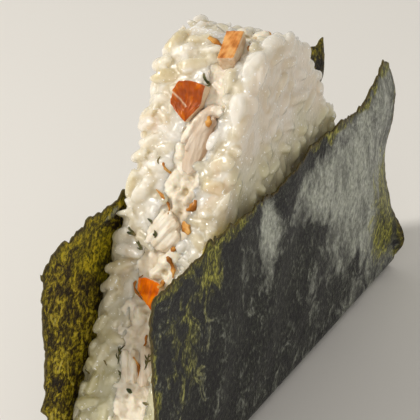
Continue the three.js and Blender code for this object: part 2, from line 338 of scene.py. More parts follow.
def ball(rings: int, sides: int) -> Shape:
    """Makes a ball of radius 1 with its poles on X, as the start of grains and lumps.

    Args:
        rings: rings of vertices between the poles.
        sides: vertices in each ring.

    Returns:
        Its points and faces.
    """
    latitude = math.pi * (np.arange(rings) + 1) / (rings + 1)
    longitude = 2 * math.pi * np.arange(sides) / sides
    lat, lon = np.meshgrid(latitude, longitude, indexing="ij")
    body = np.stack([np.cos(lat), np.sin(lat) * np.cos(lon), np.sin(lat) * np.sin(lon)], -1).reshape(-1, 3)
    points = np.concatenate([body, [[1, 0, 0], [-1, 0, 0]]])
    faces = []
    for side in range(sides):
        after = (side + 1) % sides
        faces.append([len(points) - 2, side, after])
        faces.append([len(points) - 1, (rings - 1) * sides + after, (rings - 1) * sides + side])
        for ring in range(rings - 1):
            a, b = ring * sides + side, ring * sides + after
            faces.append([a, a + sides, b + sides, b])
    return points, faces


def ride_as(thing: Object, slot: str, *nodes: str) -> None:
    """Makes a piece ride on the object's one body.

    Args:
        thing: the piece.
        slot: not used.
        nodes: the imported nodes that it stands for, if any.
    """
    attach(thing, BODY)
    if nodes:
        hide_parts(*nodes)
    LOG.info("%s: %d triangles, replaces %s", thing.name, triangles_in(thing), ", ".join(nodes) or "nothing")


# ---------------------------------------------------------------- form shared by rice and filling
@dataclass(frozen=True)
class RiceTriangle:
    """The rounded triangle that the mould gives both rice layers, in millimetres."""

    base_length: float = 98.4
    side_angle: float = math.radians(59)
    apex_radius: float = 12.5
    corner_radius: float = 7.0
    bottom: float = 0.8
    thickness: float = 20.8
    filling_front: float = -3.9
    filling_back: float = 2.9
    filling_swell: float = 0.9
    swell_every: float = 34.0
    lean_from: float = 54.0
    lean_to: float = 68.0
    lean_front: float = -2.2
    lean_back: float = -4.6

    @property
    def half_base(self) -> float:
        """Half the base, to the vertex before rounding."""
        return self.base_length / 2

    @property
    def vertex_height(self) -> float:
        """Height of the top vertex before rounding."""
        return self.bottom + self.half_base * math.tan(self.side_angle)

    @property
    def apex_centre(self) -> float:
        """Height of the middle of the apex's rounding."""
        return self.vertex_height - self.apex_radius / math.cos(self.side_angle)

    def reach(self, z: Array | float) -> Array:
        """Gives half the triangle's width at a height."""
        slanted = (self.vertex_height - np.asarray(z, float)) / math.tan(self.side_angle)
        return np.minimum(slanted, self.half_base - 0.7 * self.corner_radius)

    def inset(self, x: Array | float, z: Array | float) -> Array:
        """Gives how far places lie inside the slanted sides."""
        return (self.reach(z) - np.abs(x)) * math.sin(self.side_angle)

    def rim(self, step: float) -> tuple[Array, Array]:
        """Walks round the triangle, from under the right base corner over the apex to the left one.

        Args:
            step: the spacing of the points.

        Returns:
            The points, as rows of x and z, and the outward normals there.
        """
        right, left = math.pi / 2 - self.side_angle, math.pi / 2 + self.side_angle
        corner_x = self.half_base - self.corner_radius / math.tan(self.side_angle / 2)
        corner_z = self.bottom + self.corner_radius
        arcs = [
            (corner_x, corner_z, self.corner_radius, -math.pi / 2, right),
            (0.0, self.apex_centre, self.apex_radius, right, left),
            (-corner_x, corner_z, self.corner_radius, left, 1.5 * math.pi),
        ]
        points, normals = [], []
        for x, z, radius, start, end in arcs:
            turn = np.linspace(start, end, max(8, round(radius * (end - start) / step)))
            normal = np.stack([np.cos(turn), np.sin(turn)], -1)
            arc = np.array([x, z]) + radius * normal
            if points:
                gap = np.linalg.norm(arc[0] - points[-1][-1])
                along = np.linspace(0, 1, max(3, round(gap / step)))[1:-1, None]
                points.append(points[-1][-1] * (1 - along) + arc[0] * along)
                normals.append(np.repeat(normal[:1], len(along), axis=0))
            points.append(arc)
            normals.append(normal)
        return np.concatenate(points), np.concatenate(normals)

    def filling_surface(self, sign: int, points: Array) -> Array:
        """Gives the Y at which one rice layer meets the filling.

        Args:
            sign: -1 for the front layer, +1 for the back one.
            points: rows of x, y, z, of which y isn't read.

        Returns:
            One Y for each row.
        """
        x, z = points[:, 0], points[:, 2]
        ripple = 0.3 * np.sin(0.22 * x + 0.13 * z)
        lean = smoothstep(z, self.lean_from, self.lean_to)
        if sign < 0:
            return self.filling_front + self.lean_front * lean + ripple
        swell = self.filling_swell * np.cos(2 * math.pi * (z / self.swell_every - 1))
        return self.filling_back + swell + self.lean_back * lean + ripple


@dataclass(frozen=True)
class Slope:
    """A place on a slanted side of the triangle and the axes there."""

    triangle: RiceTriangle
    side: int

    def frame(self, along: float, across: float, proud: float = 0.0, turn: float = 0.0) -> Matrix:
        """Gives the axes at a place: X across to the right, Y up the slope, Z out of it.

        Args:
            along: distance up the slope from the base vertex, bending over the apex's rounding.
            across: the place's Y.
            proud: how far the place is raised off the slope.
            turn: rotation about the slope's normal, in degrees.

        Returns:
            A matrix in millimetres.
        """
        t = self.triangle
        straight = t.half_base / math.cos(t.side_angle) - t.apex_radius * math.tan(t.side_angle)
        bend = min(max(0.0, along - straight) / t.apex_radius, t.side_angle)
        slope = t.side_angle - bend
        up = Vector((-self.side * math.cos(slope), 0, math.sin(slope)))
        normal = Vector((self.side * math.sin(slope), 0, math.cos(slope)))
        place = Vector((self.side * t.half_base, across, t.bottom)) + up * along
        if bend > 0:
            place = Vector((0, across, t.apex_centre)) + normal * t.apex_radius
        place += normal * proud
        right = up.cross(normal)
        axes = Matrix((right, up, normal)).transposed().to_4x4()
        return Matrix.Translation(place) @ axes @ Matrix.Rotation(math.radians(turn), 4, "Z")


# ---------------------------------------------------------------- finishes
@dataclass(frozen=True)
class Finish:
    """A material made for one real surface."""

    name: str

    def material(self) -> Material:
        """Makes the Blender material, unless it was made before.

        Returns:
            The material.
        """
        made = bpy.data.materials.get(self.name)
        if made:
            return made
        made = bpy.data.materials.new(self.name)
        made.use_nodes = True
        tree = made.node_tree
        surface = tree.nodes["Material Output"].inputs["Surface"]
        tree.nodes.remove(tree.nodes["Principled BSDF"])
        tree.links.new(add_node(tree, "BsdfPrincipled", self.sockets(tree)), surface)
        return made

    def sockets(self, tree: NodeTree) -> dict[str | int, Socketed]:
        """Adds the surface's patterns and gives what goes into its shader. Each finish has its own.

        Args:
            tree: the material's node tree.

        Returns:
            A value or a linked socket for each input of the shader.
        """
        raise NotImplementedError


@dataclass(frozen=True)
class SteamedRice(Finish):
    """Steamed short-grain rice, pressed while wet: translucent starch under a film of water."""

    clear: str = "#c8bb99"
    milky: str = "#e2ddd2"
    rim: str = "#e0dcd2"
    # Painted highlight: the whiter colour of the ridges.
    ridge_highlight: str = "#f6f5f2"
    # Pinker and a little darker: painted shade on the pressed face.
    pressed: str = "#e3d4c2"
    # Painted shade in seams and hollows.
    seam_shade: str = "#cfc9b2"
    blush: str = "#dfbd9c"
    # Painted shade, yellow-green as light through the nori.
    nori_shade_colour: str = "#bcb98d"

    def sockets(self, tree: NodeTree) -> dict[str | int, Socketed]:
        """Makes grains milky at their middles, with painted shade, darker and warmer, in the seams and
        painted highlights on the ridges, under a wet gloss.

        Args:
            tree: the material's node tree.

        Returns:
            The shader's inputs.
        """
        at = add_node(tree, "TexCoord", output="Object")
        tone, rim, flat, nori_shade_mask, seam_shade, ridge_highlight = (
            add_node(tree, "Attribute", output="Fac", attribute_name=name)
            for name in ("tone", "rim", "pressed", "painted_nori_shade", "seam_shade", "ridge_highlight")
        )
        cloud = add_node(tree, "TexNoise", {"Vector": at, "Scale": each(2.2), "Detail": 3.0})
        half = add_node(tree, "Math", {0: cloud, 1: 0.4}, operation="MULTIPLY")
        milk = add_node(tree, "Math", {0: tone, 1: 0.7, 2: half}, operation="MULTIPLY_ADD")
        stops = [(0.2, self.clear), (0.8, self.milky)]
        body = add_node(tree, "ValToRGB", {"Fac": milk}, stops=stops)
        # Cream and smoked juices soak in here and there. Low down, and on the face just above the nori's
        # edge, the rice gets painted shade, darker and yellow-green as light through the nori.
        soak = add_node(tree, "TexNoise", {"Vector": at, "Scale": each(9.0), "Detail": 2.0})
        blush = add_node(tree, "MapRange", {0: soak, 1: 0.58, 2: 0.75, 3: 0.0, 4: 0.4})
        # Painted highlight: thin ridges are painted whiter where light would catch them, and white specks on
        # them are painted glints of the wet film. Real glints are about 0.1 mm wide; the painted ones are
        # drawn at 0.5 mm, so that each one still shows.
        edge = add_node(tree, "Math", {0: ridge_highlight, 1: 0.6}, operation="MULTIPLY")
        sparkle_noise = add_node(tree, "TexNoise", {"Vector": at, "Scale": each(0.5), "Detail": 1.0})
        gathered = {0: ridge_highlight, 1: 0.16, 2: sparkle_noise}
        gathered = add_node(tree, "Math", gathered, operation="MULTIPLY_ADD")
        painted_sparkle = add_node(tree, "MapRange", {0: gathered, 1: 0.68, 2: 0.74})
        tints = [(blush, self.blush), (rim, self.rim), (flat, self.pressed), (nori_shade_mask, self.nori_shade_colour)]
        tints += [(seam_shade, self.seam_shade), (edge, self.ridge_highlight), (painted_sparkle, "#ffffff")]
        for amount, colour in tints:
            mixed = {0: amount, 6: body, 7: linear(colour)}
            body = add_node(tree, "Mix", mixed, 2, data_type="RGBA")
        # The skin of a cooked grain is finely wrinkled, and the film of water on it breaks the gloss into
        # sparks. Real beads are about 0.3 mm wide; they are drawn at 0.6 mm, so that each one still shows.
        wrinkle = add_node(tree, "TexNoise", {"Vector": at, "Scale": each(0.8), "Detail": 2.0})
        height = {"Height": wrinkle, "Strength": 0.5, "Distance": 0.15 * MM}
        wrinkled = add_node(tree, "Bump", height)
        beads = add_node(tree, "TexNoise", {"Vector": at, "Scale": each(0.6), "Detail": 0.0})
        calm = add_node(tree, "MapRange", {0: flat, 1: 0.1, 2: 0.5, 3: 1.0, 4: 0.5})
        film = add_node(tree, "Math", {0: beads, 1: calm}, operation="MULTIPLY")
        wet = add_node(tree, "Bump", {"Height": film, "Strength": 1.0, "Distance": 0.2 * MM})
        return {
            "Base Color": body,
            "Roughness": 0.34,
            "IOR": 1.38,
            "Normal": wrinkled,
            "Subsurface Weight": 1.0,
            "Subsurface Radius": (1.0, 0.95, 0.87),
            "Subsurface Scale": 4.8 * MM,
            "Coat Weight": 1.0,
            "Coat Roughness": 0.09,
            "Coat IOR": 1.55,
            "Coat Normal": wet,
        }


class NoriSide(Enum):
    """The two faces of a nori sheet."""

    OUTER = "outer"
    INNER = "inner"


@dataclass(frozen=True)
class NoriColours:
    """The colours of one face of a nori sheet, from dark to light, and the scales of its felt."""

    body: list[tuple[float, str]]
    olive: list[tuple[float, str]]
    stretch: float
    blotch_mm: float
    blotch_share: float
    glow: float


NORI_COLOURS = {
    NoriSide.OUTER: NoriColours(
        body=[(0.22, "#0c0b11"), (0.45, "#171816"), (0.65, "#292c24"), (0.88, "#60635a")],
        olive=[(0.2, "#25240f"), (0.45, "#4f4d16"), (0.62, "#7f7e24"), (0.85, "#b9b650")],
        stretch=0.6,
        blotch_mm=3.2,
        blotch_share=0.8,
        glow=0.1,
    ),
    # The inner face's yellow-green colours are painted light: light from behind coming through the sheet.
    NoriSide.INNER: NoriColours(
        body=[(0.2, "#1a1210"), (0.36, "#3a2c11"), (0.48, "#635810"), (0.62, "#958614"), (0.82, "#d6c43c")],
        olive=[(0.2, "#2c280c"), (0.45, "#655d0e"), (0.62, "#978c12"), (0.85, "#d3c02c")],
        stretch=0.8,
        blotch_mm=3.6,
        blotch_share=1.1,
        glow=0.35,
    ),
}


@dataclass(frozen=True)
class RoastedNori(Finish):
    """Red algae dried on a mat and roasted: a felt of fibres, dark, with a satin sheen painted in as lighter
    clouds.
    """

    side: NoriSide = NoriSide.OUTER
    fibre_slant: float = -20.0
    crease_slant: float = -36.0
    contrast: float = 0.27

    def sockets(self, tree: NodeTree) -> dict[str | int, Socketed]:
        """Lays fibre streaks, blotches, see-through olive places and painted sheen along the sheet.

        Args:
            tree: the material's node tree.

        Returns:
            The shader's inputs.
        """
        look = NORI_COLOURS[self.side]
        sheet = add_node(tree, "Attribute", output="Vector", attribute_name="sheet")
        thin, edge, painted_sheen = (
            add_node(tree, "Attribute", output="Fac", attribute_name=name)
            for name in ("thin", "edge", "painted_sheen")
        )
        # Fibres lie mostly up the sheet, slanted a little, and wander; creases lean more.
        along, across = (
            add_node(tree, "Mapping", {"Vector": sheet, "Rotation": turn, "Scale": scale})
            for turn, scale in (
                ((0.0, 0.0, math.radians(self.fibre_slant)), (1.0, look.stretch, 1.0)),
                ((0.0, 0.0, math.radians(self.crease_slant)), (1.0, 0.32, 1.0)),
            )
        )
        fine = {"Vector": along, "Scale": each(0.6), "Detail": 4.0, "Roughness": 0.6, "Distortion": 0.4}
        felt = add_node(tree, "TexNoise", fine)
        blotch = each(look.blotch_mm)
        wide = {"Vector": along, "Scale": blotch, "Detail": 6.0, "Roughness": 0.7, "Distortion": 0.9}
        cloud = add_node(tree, "TexNoise", wide)
        summed = {0: cloud, 1: look.blotch_share, 2: felt}
        pattern = add_node(tree, "Math", summed, operation="MULTIPLY_ADD")
        middle = 0.5 * (1 + look.blotch_share)
        spread = {0: pattern, 1: middle - self.contrast, 2: middle + self.contrast}
        level = add_node(tree, "MapRange", spread)
        body = add_node(tree, "ValToRGB", {"Fac": level}, stops=look.body)
        # Where the felt is thin the olive green of the alga shows; on the inner face this olive, like that
        # face's yellow-green body, is painted light that comes through the sheet from behind.
        thinned = add_node(tree, "Math", {0: thin, 1: 0.55, 2: cloud}, operation="MULTIPLY_ADD")
        patch = add_node(tree, "MapRange", {0: thinned, 1: 0.68, 2: 0.9})
        olive = add_node(tree, "ValToRGB", {"Fac": level}, stops=look.olive)
        # Painted sheen: in clouds with dark cracks the sheet is painted lighter grey-green, standing in for
        # the satin reflection on the outer face, and the painted sheen is broken along the creases.
        sheen_cloud = add_node(tree, "Math", {0: painted_sheen, 1: 0.44, 2: cloud}, operation="MULTIPLY_ADD")
        sheen_share = add_node(tree, "MapRange", {0: sheen_cloud, 1: 0.58, 2: 0.88, 3: 0.0, 4: 0.9})
        crease = add_node(tree, "TexNoise", {"Vector": across, "Scale": each(2.8), "Detail": 3.0})
        sheen_break = add_node(tree, "MapRange", {0: crease, 1: 0.38, 2: 0.52, 3: 0.55, 4: 1.0})
        sheen_share = add_node(tree, "Math", {0: sheen_share, 1: sheen_break}, operation="MULTIPLY")
        stops = [(0.36, "#969a90"), (0.5, "#b4b8ad"), (0.64, "#d0d4c9")]
        sheen_colour = add_node(tree, "ValToRGB", {"Fac": felt}, stops=stops)
        # The torn edge is singed brown.
        stops = [(0.4, "#2b2311"), (0.62, "#6f5c1e")]
        singed = add_node(tree, "ValToRGB", {"Fac": felt}, stops=stops)
        for amount, colour in ((sheen_share, sheen_colour), (patch, olive), (edge, singed)):
            mixed = {0: amount, 6: body, 7: colour}
            body = add_node(tree, "Mix", mixed, 2, data_type="RGBA")
        # The felt and its fibres stand up and break the satin sheen.
        height = {"Height": pattern, "Strength": 0.8, "Distance": 0.4 * MM}
        relief = add_node(tree, "Bump", height)
        gloss = add_node(tree, "MapRange", {0: felt, 1: 0.35, 2: 0.65, 3: 0.55, 4: 0.38})
        return {
            "Base Color": body,
            "Roughness": gloss,
            "IOR": 1.45,
            "Normal": relief,
            "Subsurface Weight": look.glow,
            "Subsurface Radius": (0.8, 1.0, 0.25),
            "Subsurface Scale": 0.5 * MM,
        }


@dataclass(frozen=True)
class CreamSauce(Finish):
    """Cream sauce stirred with shredded breast meat: opaque, off-white, moist."""

    cream: str = "#e6dfce"
    meat: str = "#dbcfbc"
    # Painted shade: the colour of the hollows.
    deep: str = "#bba680"

    def sockets(self, tree: NodeTree) -> dict[str | int, Socketed]:
        """Mixes cream and meat by the lumps' own tone, with painted shade, darker and warmer, in the hollows,
        and a moist gloss.

        Args:
            tree: the material's node tree.

        Returns:
            The shader's inputs.
        """
        at = add_node(tree, "TexCoord", output="Object")
        tone, seam_shade = (
            add_node(tree, "Attribute", output="Fac", attribute_name=name)
            for name in ("tone", "seam_shade")
        )
        fleck = add_node(tree, "TexNoise", {"Vector": at, "Scale": each(1.6), "Detail": 4.0})
        mixing = {0: fleck, 1: 0.5, 2: tone}
        blend = add_node(tree, "Math", mixing, operation="MULTIPLY_ADD", use_clamp=True)
        stops = [(0.3, self.cream), (0.9, self.meat)]
        body = add_node(tree, "ValToRGB", {"Fac": blend}, stops=stops)
        # Painted shade: hollows are painted darker and warmer.
        mixed = {0: seam_shade, 6: body, 7: linear(self.deep)}
        curd = add_node(tree, "TexNoise", {"Vector": at, "Scale": each(0.7), "Detail": 4.0})
        height = {"Height": curd, "Strength": 0.6, "Distance": 0.3 * MM}
        return {
            "Base Color": add_node(tree, "Mix", mixed, 2, data_type="RGBA"),
            "Roughness": 0.42,
            "IOR": 1.42,
            "Normal": add_node(tree, "Bump", height),
            "Subsurface Weight": 0.6,
            "Subsurface Radius": (1.0, 0.75, 0.5),
            "Subsurface Scale": 1.0 * MM,
            "Coat Weight": 0.25,
            "Coat Roughness": 0.2,
        }


@dataclass(frozen=True)
class SmokedChicken(Finish):
    """Hot-smoked chicken breast, cut by knife: a glazed browned skin over pale pink fibres."""

    skin_dark: str = "#8c3c00"
    skin: str = "#a54a00"
    skin_bright: str = "#c06403"
    flesh: str = "#e4d2b8"
    flesh_shade: str = "#cfae8b"
    # Painted shade: the colour of dim strands.
    dim: str = "#c2ae9a"
    gloss: float = 0.4

    def sockets(self, tree: NodeTree) -> dict[str | int, Socketed]:
        """Lays a fibrous glaze where the piece is browned, pale fibres on its cut sides and painted shade on
        dim strands.

        Args:
            tree: the material's node tree.

        Returns:
            The shader's inputs.
        """
        grain = add_node(tree, "Attribute", output="Vector", attribute_name="grain")
        # The second attribute, dim, marks where strands get painted shade.
        browned, sunk = (
            add_node(tree, "Attribute", output="Fac", attribute_name=name)
            for name in ("browned", "dim")
        )
        # Muscle fibres are about 0.3 mm thick and run the length of the piece; they are drawn at 0.45 mm.
        along = add_node(tree, "Mapping", {"Vector": grain, "Scale": (1.0, 0.16, 1.0)})
        fibre = {"Vector": along, "Scale": each(0.45), "Detail": 3.0, "Distortion": 0.4}
        streak = add_node(tree, "TexNoise", fibre)
        cloud = add_node(tree, "TexNoise", {"Vector": grain, "Scale": each(2.4), "Detail": 2.0})
        pattern = {0: streak, 1: 0.35, 2: cloud}
        pattern = add_node(tree, "Math", pattern, operation="MULTIPLY_ADD")
        level = add_node(tree, "Math", {0: pattern, 1: 0.17}, operation="SUBTRACT")
        skin, flesh = (
            add_node(tree, "ValToRGB", {"Fac": level}, stops=stops)
            for stops in (
                [(0.36, self.skin_dark), (0.5, self.skin), (0.64, self.skin_bright)],
                [(0.35, self.flesh_shade), (0.6, self.flesh)],
            )
        )
        # Painted shade: dim strands are painted darker.
        shaded_flesh = {0: sunk, 6: flesh, 7: linear(self.dim)}
        flesh = add_node(tree, "Mix", shaded_flesh, 2, data_type="RGBA")
        mixed = {0: browned, 6: flesh, 7: skin}
        height = {"Height": streak, "Strength": 0.5, "Distance": 0.2 * MM}
        return {
            "Base Color": add_node(tree, "Mix", mixed, 2, data_type="RGBA"),
            "Roughness": add_node(tree, "MapRange", {0: browned, 1: 0.0, 2: 1.0, 3: 0.5, 4: 0.3}),
            "IOR": 1.42,
            "Specular IOR Level": 0.08,
            "Normal": add_node(tree, "Bump", height),
            "Subsurface Weight": 0.35,
            "Subsurface Radius": (1.0, 0.7, 0.5),
            "Subsurface Scale": 0.8 * MM,
            "Coat Weight": self.gloss,
            "Coat Roughness": 0.08,
        }


@dataclass(frozen=True)
class ChoppedDill(Finish):
    """Chopped dill, wilted in the cream: dark green threads, browner where they are bruised."""

    def sockets(self, tree: NodeTree) -> dict[str | int, Socketed]:
        """Varies the green from thread to thread.

        Args:
            tree: the material's node tree.

        Returns:
            The shader's inputs.
        """
        at = add_node(tree, "TexCoord", output="Object")
        patch = add_node(tree, "TexNoise", {"Vector": at, "Scale": each(1.5), "Detail": 2.0})
        stops = [(0.35, "#26300f"), (0.5, "#45481a"), (0.65, "#6b5d2a")]
        body = add_node(tree, "ValToRGB", {"Fac": patch}, stops=stops)
        return {"Base Color": body, "Roughness": 0.45, "IOR": 1.42, "Coat Weight": 0.2}


@dataclass(frozen=True)
class PaleTable(Finish):
    """A table top sprayed with matt paint, plain and pale."""

    colour: str = "#e9e8e6"

    def sockets(self, tree: NodeTree) -> dict[str | int, Socketed]:
        """Gives a plain pale surface."""
        return {"Base Color": linear(self.colour), "Roughness": 0.6, "IOR": 1.45}


# ---------------------------------------------------------------- rice
class GrainKind(Enum):
    """How a cooked grain came out of the pot."""

    PLUMP = "plump"
    BENT = "bent"
    SPLIT = "split"


@dataclass(frozen=True)
class Grain:
    """One cooked short-grain rice grain, in millimetres."""

    kind: GrainKind
    length: float = 7.0
    width: float = 3.1
    depth: float = 2.3

    def shape(self, rng: Generator) -> Shape:
        """Makes the grain about its own middle, its length along X and its depth along Z.

        Args:
            rng: the source of its small differences.

        Returns:
            Its points and faces.
        """
        unit, faces = ball(9, 14)
        t = unit[:, 0]
        radius = np.hypot(unit[:, 1], unit[:, 2])
        direction = unit[:, 1:] / np.maximum(radius, 1e-6)[:, None]
        angle = np.arctan2(unit[:, 2], unit[:, 1])
        girth = np.sqrt(1 - np.abs(t) ** 2.7) * (1 + 0.04 * np.cos(3 * angle + rng.uniform(0, 6)))
        girth *= 1 + 0.12 * t * rng.uniform(-1, 1)
        if self.kind is GrainKind.SPLIT:
            girth *= 1.06 - 0.3 * np.exp(-(((angle - 1.3) / 0.3) ** 2)) * (1 - t * t)
        x = t * self.length / 2
        y = direction[:, 0] * girth * self.width / 2
        z = direction[:, 1] * girth * self.depth / 2
        if self.kind is GrainKind.BENT:
            bow = 0.9 * (t * t - 0.4)
            y, z = y + bow, z - 0.35 * bow
        notch = 0.35 * np.exp(-(((t - 1) / 0.25) ** 2))
        shape = np.stack([x - notch * (y > 0), y, z], -1)
        # Neighbours press flats into it while it is hot.
        for turn in rng.uniform(0, 2 * math.pi) + np.arange(5) * 1.257 + rng.normal(0, 0.25, 5):
            facing = np.array([rng.normal(0, 0.3), math.cos(turn), math.sin(turn)])
            facing /= np.linalg.norm(facing)
            limit = rng.uniform(0.74, 0.95) * math.hypot(facing[1] * self.width, facing[2] * self.depth) / 2
            shape -= np.maximum(shape @ facing - limit, 0)[:, None] * facing
        dents = LatticeNoise(int(rng.integers(1 << 30))).at(shape, 2.2, 2)
        return shape + 0.28 * unit * dents[:, None], faces


def place(points: Array, centre: Array, long_axis: Array, normal: Array) -> Array:
    """Places a shape made about its own middle.

    Args:
        points: its points, its length along X and its depth along Z.
        centre: where its middle goes.
        long_axis: where its X goes, a unit vector.
        normal: where its Z goes, a unit vector at right angles to long_axis.

    Returns:
        The placed points.
    """
    return centre + points @ np.stack([long_axis, np.cross(normal, long_axis), normal])


def scattered(
    rng: Generator, low: Pair, high: Pair, spacing: float, tries: int
) -> Array:
    """Throws places into a rectangle and keeps those that are far enough from the ones before.

    Args:
        rng: the source of the throws.
        low: the rectangle's lowest corner.
        high: its highest corner.
        spacing: the least distance between two places.
        tries: how many are thrown.

    Returns:
        The places kept, one row each.
    """
    kept = np.empty((0, 2))
    for candidate in rng.uniform(low, high, (tries, 2)):
        if not len(kept) or np.min(np.sum((kept - candidate) ** 2, axis=1)) > spacing**2:
            kept = np.vstack([kept, candidate])
    return kept


def slab(triangle: RiceTriangle, loops: list[Pair], inner: int) -> Shape:
    """Makes a closed slab of the rounded triangle.

    Args:
        triangle: the outline.
        loops: the inset and depth share of each loop, from the first end to the other; a share of 0 is the
            filling's surface and 1 is the mould's face.
        inner: the sign of the layer, or 0 for the filling, whose loops run from its front to its back.

    Returns:
        Its points and faces.
    """
    line, normals = triangle.rim(0.9)
    centre = np.array([0.0, 26.0])  # about the triangle's middle, where both ends close

    def depth(at: Array, share: float) -> Array:
        """Gives the Y of places in the layer.

        Args:
            at: rows of x and z.
            share: the share of the layer's depth.

        Returns:
            One Y for each row.
        """
        spots = np.stack([at[:, 0], np.zeros(len(at)), at[:, 1]], -1)
        if inner:
            start = triangle.filling_surface(inner, spots)
            return start + (inner * triangle.thickness / 2 - start) * share
        front, back = triangle.filling_surface(-1, spots), triangle.filling_surface(1, spots)
        return front + (back - front) * share

    caps = [0.8, 0.6, 0.4, 0.2, 0.02]
    rings = [(loops[0][0], loops[0][1], shrink) for shrink in reversed(caps)]
    rings += [(inset, share, 1.0) for inset, share in loops]
    rings += [(loops[-1][0], loops[-1][1], shrink) for shrink in caps]
    points = []
    for inset, share, shrink in rings:
        at = centre + (line - normals * inset - centre) * shrink
        points.append(np.stack([at[:, 0], depth(at, share), at[:, 1]], -1))
    return np.concatenate(points), tube_faces(len(rings), len(line))


def spread_out(thing: Object, values: Array, rounds: int) -> Array:
    """Averages values over the neighbours of each vertex.

    Args:
        thing: the mesh object.
        values: one row for each vertex.
        rounds: how many times they are averaged.

    Returns:
        The averaged rows.
    """
    edges = np.empty(len(thing.data.edges) * 2, np.int64)
    thing.data.edges.foreach_get("vertices", edges)
    a, b = edges.reshape(-1, 2).T
    count = np.bincount(edges, minlength=len(values))[:, None] + 1
    for _ in range(rounds):
        total = values.copy()
        np.add.at(total, a, values[b])
        np.add.at(total, b, values[a])
        values = total / count
    return values


def shade_lumps(thing: Object, lumps: list[tuple[Array, float]], girth: Pair) -> None:
    """Stores each vertex's tone, from the lump it belongs to, its lump's rim, and where painted shade goes in
    its seams and hollows and painted highlight on its crests.

    Args:
        thing: the fused object.
        lumps: sample points inside each lump, and its tone from 0 to 1.
        girth: the distances from a lump's inside at which its rim begins and ends.
    """
    points = points_of(thing)
    owner = np.repeat(np.arange(len(lumps)), [len(samples) for samples, _ in lumps])
    tree = KDTree(len(owner))
    for k, sample in enumerate(np.concatenate([samples for samples, _ in lumps])):
        tree.insert(sample, k)
    tree.balance()
    nearest, first, gap = np.zeros(len(points), np.int64), np.zeros(len(points)), np.ones(len(points))
    for k, point in enumerate(points):
        found = tree.find_n(point, 7)
        mine = owner[found[0][1]]
        nearest[k], first[k] = mine, found[0][2]
        for _, other, distance in found[1:]:
            if owner[other] != mine:
                gap[k] = distance - first[k]
                break
    tone = np.array([tone for _, tone in lumps])[nearest]
    write_attribute(thing, "tone", spread_out(thing, tone[:, None], 2)[:, 0])
    rim = smoothstep(first, *girth)
    write_attribute(thing, "rim", rim)
    mean = spread_out(thing, points, 8)
    bowl = np.sum((mean - points) * normals_of(thing), axis=1)
    # Convex crests get the mask for painted highlight.
    write_attribute(thing, "ridge_highlight", smoothstep(-bowl, 0.1, 0.42))
    # Hollows and the lines between lumps get the mask for painted shade.
    hollow = smoothstep(bowl, 0.03, 0.32)
    line = 0.3 * (1 - smoothstep(gap, 0.05, 0.4)) * rim
    write_attribute(thing, "seam_shade", np.maximum(hollow, line))


@dataclass(frozen=True)
class LaidGrain:
    """A grain laid at a chosen place on a slanted side: its middle, how it lies and its size."""

    side: int
    along: float
    across: float
    turn: float
    length: float
    width: float = 2.6


